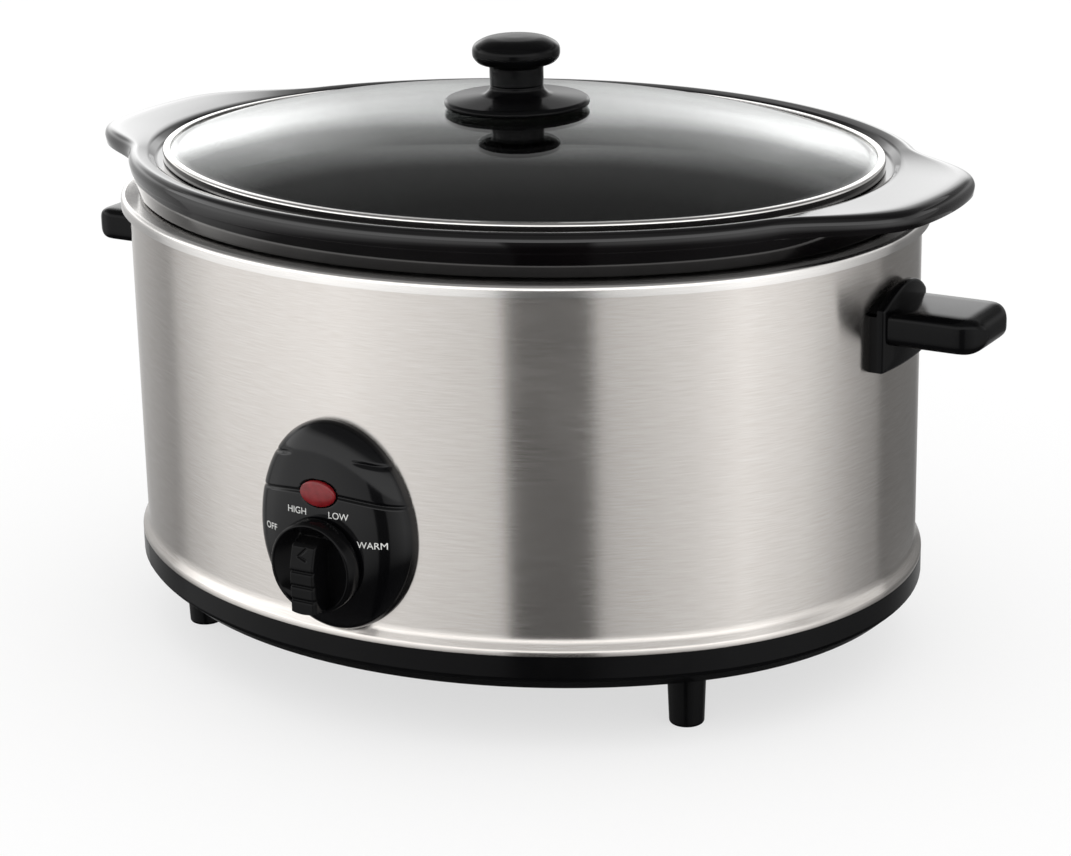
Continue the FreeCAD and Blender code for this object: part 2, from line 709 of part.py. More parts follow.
def make_fuse_clip():
    """Steel saddle that holds the thermal fuse up against the liner floor."""
    low = liner_under - FIT_GAP - 2 * FUSE_RADIUS - CLIP_SHEET
    body = block(
        Vector(FUSE_X - CLIP_WIDTH / 2, -CLIP_LENGTH / 2, low),
        Vector(FUSE_X + CLIP_WIDTH / 2, CLIP_LENGTH / 2, liner_under),
    )
    bore_radius = FUSE_RADIUS + FIT_GAP / 2
    bore = rod(bore_radius, fuse_centre + FRONT * FUSE_LENGTH, fuse_centre + REAR * FUSE_LENGTH)
    mouth = block(
        Vector(FUSE_X - bore_radius, -FUSE_LENGTH, fuse_centre.z),
        Vector(FUSE_X + bore_radius, FUSE_LENGTH, liner_floor),
    )
    return body.cut([bore, mouth])


def make_terminal_block():
    """Ceramic terminal block on the tray floor, with three screw wells."""
    top = tray_floor + TERMINAL_HEIGHT
    body = block(
        Vector(-TERMINAL_LENGTH / 2, TERMINAL_Y, tray_floor),
        Vector(TERMINAL_LENGTH / 2, TERMINAL_Y + TERMINAL_DEPTH, top),
    )
    wells = []
    for step in (-1, 0, 1):
        centre = Vector(step * TERMINAL_PITCH, TERMINAL_Y + TERMINAL_DEPTH / 2, top)
        wells.append(rod(TERMINAL_WELL_RADIUS, centre - UP * TERMINAL_WELL_DEPTH, centre))
    return body.cut(wells)


def make_cord_gland():
    """Plastic gland through the rear of the tray, flanged against the outside of its wall."""
    wall_outside = half_depth + BEAD_FLARE + FIT_GAP
    inner_end = half_depth + BEAD_FLARE - TRAY_WALL - GLAND_INSIDE
    corners = [
        (GLAND_BORE_RADIUS, 0, 0),
        (gland_radius, 0, 0),
        (gland_radius, wall_outside - inner_end, 0),
        (gland_radius + GLAND_FLANGE, wall_outside - inner_end, 0),
        (gland_radius + GLAND_FLANGE, gland_outside - inner_end, GLAND_EDGE),
        (GLAND_BORE_RADIUS, gland_outside - inner_end, GLAND_EDGE),
    ]
    return turned(corners, Vector(0, inner_end, gland_z), REAR)


def ear_outline(reach, inset, z):
    """Plan of one pouring ear: sides tangent to the rim, cut off at the reach, corners rounded."""
    angle = math.radians(EAR_ANGLE)
    radius = end_radius - RIM_INSET - inset
    half_tip = (radius - (reach - end_centre) * math.cos(angle)) / math.sin(angle)
    root_x = end_centre + radius * math.cos(angle)
    root_y = radius * math.sin(angle)
    corners = [
        (end_centre, 0, 0),
        (root_x, -root_y, 0),
        (reach, -half_tip, EAR_CORNER),
        (reach, half_tip, EAR_CORNER),
        (root_x, root_y, 0),
    ]
    return outline_face(corners, lambda x, y: Vector(x, y, z))


def make_stoneware_crock():
    """Glazed stoneware bowl with a heavy rim, a ledge for the lid and an ear at each end."""
    bowl = oval_ring([
        (core_offset, crock_bottom, 0),
        (crock_outside - CROCK_DRAFT, crock_bottom, CROCK_CORNER),
        (crock_outside, rim_bottom, RIM_ROUND),
        (-RIM_INSET - RIM_WAIST, rim_bottom, RIM_ROUND),
        (-RIM_INSET - RIM_WAIST, rim_top - RIM_WAIST_DROP, RIM_WAIST_DROP),
        (-RIM_INSET, rim_top, RIM_ROUND),
        (-RIM_INSET - RIM_TOP_WIDTH, rim_top, RIM_ROUND),
        (-RIM_INSET - RIM_TOP_WIDTH - GUTTER_SLOPE, ledge, RIM_ROUND),
        (crock_inside, ledge, RIM_ROUND),
        (crock_inside - CROCK_DRAFT, crock_floor, CROCK_CORNER - CROCK_WALL),
        (core_offset, crock_floor, 0),
    ])
    ear_top = rim_top - EAR_TOP_DROP
    ear_under = ear_top - EAR_THICKNESS
    tip_face = ear_outline(EAR_REACH, FIT_GAP, ear_under)
    root_reach = end_centre + end_radius - RIM_INSET - EAR_ROOT_INSET
    root_face = ear_outline(root_reach, EAR_ROOT_INSET, rim_bottom + RIM_ROUND)
    slope = Part.makeLoft([root_face.OuterWire, tip_face.OuterWire], True, True)
    plate = tip_face.extrude(UP * EAR_THICKNESS)
    outer_rim = [edge for edge in edges_on_plane(plate, UP, ear_top) if edge.BoundBox.XMax > half_length]
    plate = plate.makeFillet(RIM_ROUND, outer_rim)
    ear = fused([slope, plate]).cut(oval_prism(-RIM_INSET - RIM_TOP_WIDTH / 2, 0, 2 * rim_top))
    other_ear = ear.mirror(Vector(0, 0, 0), RIGHT)
    return fused([bowl, oval_prism(core_offset, crock_bottom, crock_floor), ear, other_ear])


def make_lid_glass():
    """Domed tempered glass, flat at its edge and at its middle, drilled for the knob screw."""
    edge = -LID_INSET - LID_SHEET - FIT_GAP
    start = -LID_INSET - DOME_START
    run = start - core_offset
    bend = (run ** 2 + DOME_RISE ** 2) / (2 * run)
    radius = bend * run / DOME_RISE - DOME_SLACK
    under_top = dome_top - GLASS
    ring = oval_ring([
        (core_offset, under_top, 0),
        (core_offset + bend, under_top, radius - GLASS),
        (start, glass_bottom, GLASS),
        (edge, glass_bottom, GLASS_EDGE),
        (edge, glass_top, GLASS_EDGE),
        (start, glass_top, GLASS),
        (core_offset + bend, dome_top, radius),
        (core_offset, dome_top, 0),
    ])
    glass = fused([ring, oval_prism(core_offset, under_top, dome_top)])
    return glass.cut(rod(LID_SCREW_RADIUS + HOLE_GAP, Vector(0, 0, 0), UP * 2 * dome_top))


def make_lid_rim():
    """Thin polished steel channel closed over the edge of the glass."""
    outside = -LID_INSET
    inside = -LID_INSET - LID_BAND_WIDTH
    low = lid_bottom
    high = glass_top + FIT_GAP + LID_SHEET
    return oval_ring([
        (inside, low, 0),
        (outside, low, 0),
        (outside, high, LID_SHEET),
        (inside, high, 0),
        (inside, high - LID_SHEET, 0),
        (outside - LID_SHEET, high - LID_SHEET, 0),
        (outside - LID_SHEET, low + LID_SHEET, 0),
        (inside, low + LID_SHEET, 0),
    ])


def make_knob_skirt():
    """Moulded disc under the lid knob, raised to a collar that meets the stem."""
    edge = KNOB_SKIRT_EDGE
    corners = [
        (screw_hole, 0, 0),
        (KNOB_SKIRT_RADIUS, 0, KNOB_SKIRT_ROUND),
        (KNOB_SKIRT_RADIUS, edge, KNOB_SKIRT_ROUND),
        (COLLAR_RADIUS + COLLAR_FLARE, edge + KNOB_SKIRT_CROWN, COLLAR_FLARE),
        (COLLAR_RADIUS, skirt_height, 0),
        (screw_hole, skirt_height, 0),
    ]
    return turned(corners, UP * (dome_top + GASKET_THICKNESS), UP)


def make_lid_knob():
    """Moulded mushroom knob, bored from below for its screw."""
    bore_end = LID_SCREW_GRIP - skirt_height + HOLE_GAP
    full = STEM_HEIGHT + HEAD_HEIGHT
    corners = [
        (LID_SCREW_RADIUS + FIT_GAP, 0, 0),
        (STEM_RADIUS, 0, 0),
        (STEM_RADIUS, STEM_HEIGHT, HEAD_UNDER),
        (HEAD_RADIUS, STEM_HEIGHT + HEAD_UNDER, HEAD_ROUND),
        (HEAD_RADIUS, full - HEAD_CROWN, HEAD_ROUND),
        (0, full, 0),
        (0, bore_end, 0),
        (LID_SCREW_RADIUS + FIT_GAP, bore_end, 0),
    ]
    return turned(corners, UP * knob_joint, UP)


parts = {
    "outer_shell": make_outer_shell(),
    "heating_liner": make_heating_liner(),
    "heater_band": flat_band(heater_inside, HEATER_THICKNESS, heater_bottom, HEATER_HEIGHT),
    "heater_strap": flat_band(heater_outside + FIT_GAP, STRAP_THICKNESS, strap_bottom, STRAP_HEIGHT),
    "base_tray": make_base_tray(),
    "liner_pillars": Part.makeCompound([make_pillar(spot) for spot in pillar_spots]),
    "base_screws": Part.makeCompound([
        pan_screw(place, axis, BASE_SCREW_RADIUS, BASE_SCREW_LENGTH) for place, axis in base_screw_places
    ]),
    "handle_left": make_handle(-1),
    "handle_right": make_handle(1),
    "handle_screws": Part.makeCompound([
        pan_screw(place, axis, HANDLE_SCREW_RADIUS, HANDLE_SCREW_LENGTH)
        for place, axis in handle_screw_places
    ]),
    "control_panel": make_control_panel(),
    "panel_screws": Part.makeCompound([
        pan_screw(place, axis, PANEL_SCREW_RADIUS, PANEL_SCREW_LENGTH) for place, axis in panel_screw_places
    ]),
    "indicator_lens": make_indicator_lens(),
    "indicator_lamp": make_indicator_lamp(),
    "switch_body": make_switch_body(),
    "switch_nut": make_switch_nut(),
    "switch_shaft": rod(
        SHAFT_RADIUS, knob_centre + FRONT * (shaft_back + HOLE_GAP), knob_centre + FRONT * shaft_tip,
    ),
    "control_knob": make_control_knob(),
    "thermal_fuse": rod(FUSE_RADIUS, *fuse_ends),
    "fuse_clip": make_fuse_clip(),
    "terminal_block": make_terminal_block(),
    "supply_lead": tube([
        Vector(SUPPLY_LEAD_X, TERMINAL_Y, lead_z),
        Vector(SUPPLY_LEAD_X, supply_y, lead_z),
        Vector(SUPPLY_LEAD_X, supply_y, knob_z - SWITCH_HEIGHT / 2),
    ]),
    "fuse_lead": tube([
        Vector(FUSE_X, TERMINAL_Y, lead_z),
        Vector(FUSE_X, TERMINAL_Y / 2 + LEAD_BEND, lead_z),
        Vector(FUSE_X, TERMINAL_Y / 2 - LEAD_BEND, fuse_centre.z),
        fuse_ends[0],
    ]),
    "heater_lead": tube([
        fuse_ends[1],
        fuse_ends[1] + FRONT * 2 * LEAD_BEND,
        Vector(FUSE_X, fuse_ends[1].y - 4 * LEAD_BEND, lead_z),
        Vector(FUSE_X, heater_lead_y, lead_z),
        Vector(FUSE_X, heater_lead_y, heater_bottom),
    ]),
    "cord_gland": make_cord_gland(),
    "stoneware_crock": make_stoneware_crock(),
    "lid_glass": make_lid_glass(),
    "lid_rim": make_lid_rim(),
    "lid_gasket": rod(GASKET_RADIUS, UP * dome_top, UP * (dome_top + GASKET_THICKNESS)).cut(
        rod(screw_hole, UP * dome_top, UP * knob_joint)
    ),
    "knob_skirt": make_knob_skirt(),
    "lid_knob": make_lid_knob(),
    "lid_washer": rod(WASHER_RADIUS, UP * (washer_top - WASHER_THICKNESS), UP * washer_top).cut(
        rod(screw_hole, UP * crock_floor, UP * knob_joint)
    ),
    "lid_screw": pan_screw(
        UP * (washer_top - WASHER_THICKNESS), UP, LID_SCREW_RADIUS,
        WASHER_THICKNESS + GLASS + GASKET_THICKNESS + LID_SCREW_GRIP,
    ),
}
foot_names = ("foot_front_left", "foot_rear_left", "foot_front_right", "foot_rear_right")
for name, spot in zip(foot_names, foot_spots):
    parts[name] = make_foot(spot)

os.makedirs("parts", exist_ok=True)
for name, shape in parts.items():
    placed = shape.copy()
    placed.translate(REAR * set_back)
    placed.exportStep("parts/" + name + ".step")
    box = placed.BoundBox
    print(f"{name:18s} {len(placed.Solids)} solid  {placed.Volume / 1000:9.2f} cm3  "
          f"x {box.XMin:8.2f} {box.XMax:8.2f}  y {box.YMin:8.2f} {box.YMax:8.2f}  "
          f"z {box.ZMin:7.2f} {box.ZMax:7.2f}  {'valid' if placed.isValid() else 'NOT VALID'}")
print(f"oval centre y {set_back:.3f}  knob axis z {knob_z:.3f}  foot plane z 0  gland z {gland_z:.3f}")
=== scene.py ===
import math

import bmesh
import bpy
import numpy as np
from mathutils import Matrix, Vector


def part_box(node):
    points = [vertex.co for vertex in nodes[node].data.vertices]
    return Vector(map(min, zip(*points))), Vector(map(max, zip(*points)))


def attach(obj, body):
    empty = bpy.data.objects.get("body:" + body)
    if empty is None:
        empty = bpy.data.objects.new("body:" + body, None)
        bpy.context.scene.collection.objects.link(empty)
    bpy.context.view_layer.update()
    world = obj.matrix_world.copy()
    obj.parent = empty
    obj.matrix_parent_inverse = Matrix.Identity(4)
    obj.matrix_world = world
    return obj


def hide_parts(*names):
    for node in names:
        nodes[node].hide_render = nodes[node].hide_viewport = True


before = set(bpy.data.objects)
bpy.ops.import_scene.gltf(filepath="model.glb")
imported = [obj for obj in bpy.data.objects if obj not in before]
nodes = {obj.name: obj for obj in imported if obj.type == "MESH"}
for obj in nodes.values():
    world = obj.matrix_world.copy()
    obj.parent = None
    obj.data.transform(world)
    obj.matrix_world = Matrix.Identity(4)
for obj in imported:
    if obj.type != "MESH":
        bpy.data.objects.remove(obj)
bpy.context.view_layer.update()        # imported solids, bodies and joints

MM = 0.001
TAU = 2 * math.pi


# Base tray, feet and cord gland: black polypropylene mouldings under the steel wall.
# The tray is a shallow pan, the four feet are pegged into its floor, and the gland sits in its
# rear wall. The solids have the right shape and keep it.
PLASTIC_DARK = "#070708"
PLASTIC_LIGHT = "#0b0b0c"
PLASTIC_ROUGHNESS = 0.17
PLASTIC_GRAIN = 0.7 * MM
PEEL = 0.002 * MM
NOISE_LOW, NOISE_HIGH = 0.3, 0.7
NOISE_ROUGHNESS = 0.6
BROAD = 30
GLOSS_SWING = 0.12
# Colour sockets of the Mix node, by number because their names repeat.
MIX_FIRST, MIX_SECOND, MIX_RESULT = 6, 7, 2


def linear(colour):
    """Scene-linear RGBA of an sRGB hex colour."""
    code = np.array([int(colour[i:i + 2], 16) for i in (1, 3, 5)]) / 255
    low = code / 12.92
    high = ((code + 0.055) / 1.055) ** 2.4
    return (*np.where(code <= 0.04045, low, high).tolist(), 1.0)


def node(tree, kind, inputs=None, **settings):
    """Adds one node: settings are its own properties, inputs are socket values or links."""
    made = tree.nodes.new(kind)
    for key, value in settings.items():
        setattr(made, key, value)
    for key, value in (inputs or {}).items():
        if isinstance(value, bpy.types.NodeSocket):
            tree.links.new(value, made.inputs[key])
        else:
            made.inputs[key].default_value = value
    return made


def finish_of(name, inputs):
    """A new material with one Principled shader that has these socket values."""
    made = bpy.data.materials.new(name)
    made.use_nodes = True
    tree = made.node_tree
    tree.nodes.clear()
    shader = node(tree, "ShaderNodeBsdfPrincipled", inputs)
    node(tree, "ShaderNodeOutputMaterial", {"Surface": shader.outputs["BSDF"]})
    return made, tree, shader


def speckle(tree, size, stretch=(1.0, 1.0, 1.0), detail=3.0):
    """Noise in object space with grains of the given size in metres, stretched along the axes."""
    place = node(tree, "ShaderNodeTexCoord").outputs["Object"]
    scaled = node(tree, "ShaderNodeMapping", {"Vector": place, "Scale": stretch}).outputs["Vector"]
    inputs = {"Vector": scaled, "Scale": 1 / size, "Detail": detail, "Roughness": NOISE_ROUGHNESS}
    return node(tree, "ShaderNodeTexNoise", inputs).outputs["Fac"]


def spread(tree, value, low, high):
    """Maps the middle of a noise, where most of it lies, onto low to high."""
    inputs = {"Value": value, "From Min": NOISE_LOW, "From Max": NOISE_HIGH, "To Min": low, "To Max": high}
    return node(tree, "ShaderNodeMapRange", inputs).outputs["Result"]


def blend(tree, value, first, second):
    """Colour that goes from first to second as a noise goes through its middle."""
    amount = spread(tree, value, 0.0, 1.0)
    mixed = node(tree, "ShaderNodeMix", {"Factor": amount}, data_type="RGBA")
    mixed.inputs[MIX_FIRST].default_value = linear(first)
    mixed.inputs[MIX_SECOND].default_value = linear(second)
    return mixed.outputs[MIX_RESULT]


def relief(tree, shader, value, height, strength=1.0):
    """Bump of the given height in metres from a noise."""
    inputs = {"Height": value, "Distance": height, "Strength": strength}
    tree.links.new(node(tree, "ShaderNodeBump", inputs).outputs["Normal"], shader.inputs["Normal"])


def moulded(name, dark, light, roughness, grain, height, specular=0.13):
    """Moulded black plastic: faint colour and gloss changes, and a fine orange-peel skin."""
    made, tree, shader = finish_of(name, {"Specular IOR Level": specular, "IOR": 1.5})
    broad = speckle(tree, grain * BROAD)
    fine = speckle(tree, grain)
    tree.links.new(blend(tree, broad, dark, light), shader.inputs["Base Color"])
    gloss = spread(tree, broad, roughness * (1 - GLOSS_SWING), roughness * (1 + GLOSS_SWING))
    tree.links.new(gloss, shader.inputs["Roughness"])
    relief(tree, shader, fine, height)
    return made


# Black polypropylene: glossy moulded skin with a faint peel.
black_plastic = moulded(
    "black_polypropylene", PLASTIC_DARK, PLASTIC_LIGHT, PLASTIC_ROUGHNESS, PLASTIC_GRAIN, PEEL)


def paint(names, material):
    """Gives CAD nodes one material in every slot."""
    for name in names:
        mesh = nodes[name].data
        mesh.materials.clear()
        mesh.materials.append(material)


FEET = [name for name in nodes if name.startswith("foot_")]
paint(["base_tray", "cord_gland", *FEET], black_plastic)


# Outer wall: one brushed stainless sheet 0.8 mm thick, rolled to the oval. Its foot is flared into a
# bead that laps the tray, and its top is held under the liner's flange.
END_RADIUS = 125.0 * MM
END_CENTRE = 43.0 * MM
JOIN_ANGLE = math.radians(48.0)
BEAD = 2.6 * MM
BEAD_HEIGHT = 2.0 * MM
BEAD_SLOPE = 4.0 * MM
BEAD_ROUND = 0.8 * MM
BEAD_SWEEP = 1.8 * MM
EDGE_BREAK = 0.3 * MM
SHEET = 0.8 * MM
AROUND = 288
SIDE_RADIUS = END_RADIUS + END_CENTRE / math.cos(JOIN_ANGLE)
SIDE_CENTRE = END_CENTRE * math.tan(JOIN_ANGLE)
AXIS_Y = sum(corner.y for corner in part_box("lid_rim")) / 2
STEEL_LIGHT = "#eae6e2"
STEEL_DARK = "#dcd6d0"
GRAIN_HEIGHT = 0.24 * MM
GRAIN_LENGTH = 10.0 * MM
LINE_DEPTH = 0.0012 * MM
LINE_STRENGTH = 0.4
LINE_GLOSS = 0.1
CLOUD = 60 * MM
CLOUD_GLOSS = 0.02
CORNER_REACH = 0.48
WELD = 0.002 * MM


def oval(offset, turn):
    """Points on the four-arc oval, offset outward, at normal angles turn: arc centre + radius * normal."""
    side = np.abs(np.sin(turn)) > math.sin(JOIN_ANGLE)
    centre_x = np.where(side, 0.0, np.sign(np.cos(turn)) * END_CENTRE)
    centre_y = np.where(side, -np.sign(np.sin(turn)) * SIDE_CENTRE, 0.0)
    radius = np.where(side, SIDE_RADIUS, END_RADIUS) + offset
    return centre_x + radius * np.cos(turn), AXIS_Y + centre_y + radius * np.sin(turn)


def softened(corners, steps=5):
    """Profile through corners (a, b, cut): each corner is cut back by its length on both sides and
    bridged by a parabola."""
    points = np.array([corner[:-1] for corner in corners])
    cuts = np.array([corner[-1] for corner in corners])
    ahead = np.roll(points, -1, 0) - points
    behind = np.roll(points, 1, 0) - points
    reach_ahead = np.linalg.norm(ahead[:, :2], axis=1) + 1e-9
    reach_behind = np.linalg.norm(behind[:, :2], axis=1) + 1e-9
    cut = np.minimum(cuts, CORNER_REACH * np.minimum(reach_ahead, reach_behind))
    start = points + behind * (cut / reach_behind)[:, None]
    end = points + ahead * (cut / reach_ahead)[:, None]
    t = np.linspace(0, 1, steps)[None, :, None]
    arcs = start[:, None] * (1 - t) ** 2 + 2 * t * (1 - t) * points[:, None] + end[:, None] * t ** 2
    return arcs.reshape(-1, points.shape[1])


def oval_grid(profile, widen=None):
    """Sweeps a profile (offset, height[, weight]) round the oval; widen(turn) * weight adds to the offset."""
    turn = np.linspace(0, TAU, AROUND, endpoint=False)[:, None]
    offset = profile[None, :, 0]
    if widen is not None:
        offset = offset + widen(turn) * profile[None, :, 2]
    x, y = oval(offset, turn)
    z = np.broadcast_to(profile[None, :, 1], x.shape)
    return np.stack([x, y, z], -1)


def capped(grid, low, high):
    """Adds a closing point on the oval's axis: at height low before the first column, and at height
    high after the last."""
    ends = np.zeros((2, len(grid), 1, 3))
    ends[..., 1] = AXIS_Y
    ends[0, ..., 2] = low
    ends[1, ..., 2] = high
    return np.concatenate([ends[0], grid, ends[1]], 1)


def quads(shape, round_rows, round_columns, first):
    """Corner numbers of the quads between neighbouring points of a grid that starts at point first."""
    rows, columns = shape[:2]
    i = np.arange(rows if round_rows else rows - 1)[:, None]
    j = np.arange(columns if round_columns else columns - 1)[None, :]
    below, beside = (i + 1) % rows, (j + 1) % columns
    corners = [i * columns + j, below * columns + j, below * columns + beside, i * columns + beside]
    return np.stack(corners, -1).reshape(-1, 4) + first


def place_mesh(name, mesh, material, slot, body, replaced=(), sharp=35.0):
    """Puts a mesh in as a smooth piece that rides on a body and stands for CAD nodes."""
    work = bmesh.new()
    work.from_mesh(mesh)
    bmesh.ops.remove_doubles(work, verts=work.verts, dist=WELD)
    bmesh.ops.recalc_face_normals(work, faces=work.faces)
    work.to_mesh(mesh)
    work.free()
    mesh.shade_smooth()
    mesh.set_sharp_from_angle(angle=math.radians(sharp))
    mesh.materials.append(material)
    made = bpy.data.objects.new(name, mesh)
    bpy.context.collection.objects.link(made)
    if replaced:
        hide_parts(*replaced)
    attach(made, body)
    return made


def surface(name, grids, *placing, **options):
    """One piece from closed grids, each (points, rows close up, columns close up)."""
    points = np.concatenate([grid.reshape(-1, 3) for grid, _, _ in grids])
    starts = np.cumsum([0] + [grid.shape[0] * grid.shape[1] for grid, _, _ in grids])
    faces = [quads(g.shape, r, c, s) for (g, r, c), s in zip(grids, starts)]
    mesh = bpy.data.meshes.new(name)
    mesh.from_pydata(points.tolist(), [], np.concatenate(faces).tolist())
    return place_mesh(name, mesh, *placing, **options)


def rolled_steel(name, light, dark, roughness, anisotropy, grain):
    """Steel sheet whose fine lines run level round the oval, so that light spreads up and down."""
    settings = {"Metallic": 1.0, "Anisotropic": anisotropy, "Anisotropic Rotation": 0.25}
    made, tree, shader = finish_of(name, settings)
    lines = speckle(tree, 1.0, (1 / GRAIN_LENGTH, 1 / GRAIN_LENGTH, 1 / grain), 4.0)
    cloud = speckle(tree, CLOUD)
    tree.links.new(blend(tree, lines, dark, light), shader.inputs["Base Color"])
    uneven = spread(tree, cloud, -CLOUD_GLOSS, CLOUD_GLOSS)
    gloss = spread(tree, lines, roughness * (1 - LINE_GLOSS), roughness * (1 + LINE_GLOSS))
    both = node(tree, "ShaderNodeMath", {0: uneven, 1: gloss}, operation="ADD")
    tree.links.new(both.outputs[0], shader.inputs["Roughness"])
    round_axis = node(tree, "ShaderNodeTangent", direction_type="RADIAL", axis="Z")
    tree.links.new(round_axis.outputs["Tangent"], shader.inputs["Tangent"])
    relief(tree, shader, lines, LINE_DEPTH, LINE_STRENGTH)
    return made


# Brushed stainless steel: level grain lines, light drawn out up and down.
brushed_steel = rolled_steel("brushed_stainless", STEEL_LIGHT, STEEL_DARK,
                             roughness=0.21, anisotropy=0.88, grain=GRAIN_HEIGHT)

shell_low, shell_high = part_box("outer_shell")
wall_foot = shell_low.z
wall_top = shell_high.z
wall_profile = softened([
    (-SHEET, wall_foot, 0.0),
    (BEAD, wall_foot, EDGE_BREAK),
    (BEAD, wall_foot + BEAD_HEIGHT, BEAD_ROUND),
    (0.0, wall_foot + BEAD_HEIGHT + BEAD_SLOPE, BEAD_SWEEP),
    (0.0, wall_top, 0.0),
    (-SHEET, wall_top, 0.0),
    (-SHEET, wall_foot + BEAD_HEIGHT + BEAD_SLOPE, BEAD_SWEEP),
])
surface("wall", [(oval_grid(wall_profile), True, True)],
        brushed_steel, "brushed_steel", "base", ["outer_shell"])


# Heating liner: a drawn bright steel well. Its top edge is rolled out over the wall as a
# flange with a short lip turned down, and the crock's rim rests just above it.
LINER_OUTSIDE = 12.0 * MM
FLANGE = 3.5 * MM
LIP_DROP = 4.8 * MM
LINER_CORNER = 16.0 * MM
LIP_ROUND = 3.0 * MM
BEND_INSIDE = 1.5 * MM
BEND_OUTSIDE = 2.0 * MM
FLOOR_EDGE = 40.0 * MM

# Bright rolled steel: smoother than the wall, faint rolling lines.
liner_steel = rolled_steel("bright_rolled_steel", "#f6f4f1", "#eeebe8",
                           roughness=0.20, anisotropy=0.4, grain=0.4 * MM)

liner_low, liner_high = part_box("heating_liner")
well_under = liner_low.z
flange_top = liner_high.z
liner_profile = softened([
    (-LINER_OUTSIDE - FLOOR_EDGE, well_under, 0.0),
    (-LINER_OUTSIDE, well_under, LINER_CORNER),
    (-LINER_OUTSIDE, flange_top - SHEET, BEND_INSIDE),
    (FLANGE - SHEET, flange_top - SHEET, LIP_ROUND - SHEET),
    (FLANGE - SHEET, flange_top - LIP_DROP, 0.0),
    (FLANGE, flange_top - LIP_DROP, 0.0),
    (FLANGE, flange_top, LIP_ROUND),
    (-LINER_OUTSIDE - SHEET, flange_top, BEND_OUTSIDE),
    (-LINER_OUTSIDE - SHEET, well_under + SHEET, LINER_CORNER),
    (-LINER_OUTSIDE - FLOOR_EDGE, well_under + SHEET, 0.0),
])
liner_grid = capped(oval_grid(liner_profile), well_under, well_under + SHEET)
surface("liner", [(liner_grid, True, False)], liner_steel, "liner_steel", "base", ["heating_liner"])


# Parts sealed inside the base: heater band and strap, pillars, screws, switch, lamp, fuse,
# terminal block and leads. Plain finishes of their real materials on the solids.
PLATED = ["heater_strap", "liner_pillars", "base_screws", "handle_screws", "panel_screws",
          "switch_nut", "switch_shaft", "thermal_fuse", "fuse_clip", "lid_washer", "lid_screw"]
MATT_SWING = 0.15


def plain(name, dark, light, roughness, grain, **inputs):
    """A plain matt finish: two close tones and a gloss that changes with them."""
    given = {key.replace("_", " "): value for key, value in inputs.items()}
    made, tree, shader = finish_of(name, given)
    mottle = speckle(tree, grain)
    tree.links.new(blend(tree, mottle, dark, light), shader.inputs["Base Color"])
    gloss = spread(tree, mottle, roughness * (1 - MATT_SWING), roughness * (1 + MATT_SWING))
    tree.links.new(gloss, shader.inputs["Roughness"])
    return made


# Zinc plating, woven glass cloth, steatite, nylon, silicone and lead insulation.
paint(PLATED, plain("zinc_plated_steel", "#a9aaad", "#c3c4c6", 0.3, 2 * MM, Metallic=1.0))
paint(["heater_band"], plain("woven_glass_cloth", "#d8d2c2", "#ece7d9", 0.8, 0.8 * MM))
paint(["terminal_block"], plain("steatite_ceramic", "#e6e1d6", "#f1ede4", 0.45, 3 * MM))
paint(["switch_body"], plain("grey_nylon", "#2a2a2c", "#343437", 0.45, 2 * MM))
paint(["lid_gasket"], plain("silicone_rubber", "#5a5a5c", "#68686a", 0.6, 2 * MM))
paint(["indicator_lamp"], plain("lamp_glass", "#e9d9c4", "#f2e6d6", 0.1, 2 * MM, Transmission_Weight=0.6))
LEADS = [name for name in nodes if name.endswith("_lead")]
paint(LEADS, plain("lead_sleeve", "#b9b2a4", "#cac4b8", 0.6, 1 * MM))


# Handles: black phenolic mouldings, one at each end, screwed through the wall. A curved back
# plate with an arched top lies on the wall and a flat grip stands out from it.
GRIP_HALF = 18.5 * MM
GRIP_THICK = 14.0 * MM
GRIP_TOP = 158.7 * MM
PLATE_HALF = 20.5 * MM
PLATE_SHOULDER = 159.5 * MM
TIP_ROUND = 11.0 * MM
TIP_NOSE = 8.0 * MM
NOSE_POWER = 2.4
EDGE_ROUND = 4.5
GRIP_SINK = 2.0 * MM
GRIP_ROWS, GRIP_POINTS = 40, 96
RIDGE_STEP = 2.6 * MM
TOP_POINTS, SIDE_POINTS = 41, 18
# Rows of the plate: share of its outline, 1 where the ridge is cut back, height over the wall in mm.
PLATE_ROWS = ((0.0, 1, -0.3), (1.0, 1, -0.3), (1.0, 1, 2.6), (1.0, 0, 2.9), (1.0, 0, 5.0),
              (0.985, 0, 5.6), (0.955, 0, 5.9), (0.92, 0, 6.0), (0.5, 0, 6.0), (0.0, 0, 6.0))

# Black phenolic: hard glossy moulding with a faint flow mottle.
black_phenolic = moulded("black_phenolic", "#060607", "#0a0a0b", roughness=0.14, grain=0.9 * MM, height=PEEL)


def end_x(across, offset):
    """Distance from the middle of the oval's end arc, offset outward, at a distance across from its axis."""
    return END_CENTRE + np.sqrt((END_RADIUS + offset) ** 2 - across ** 2)


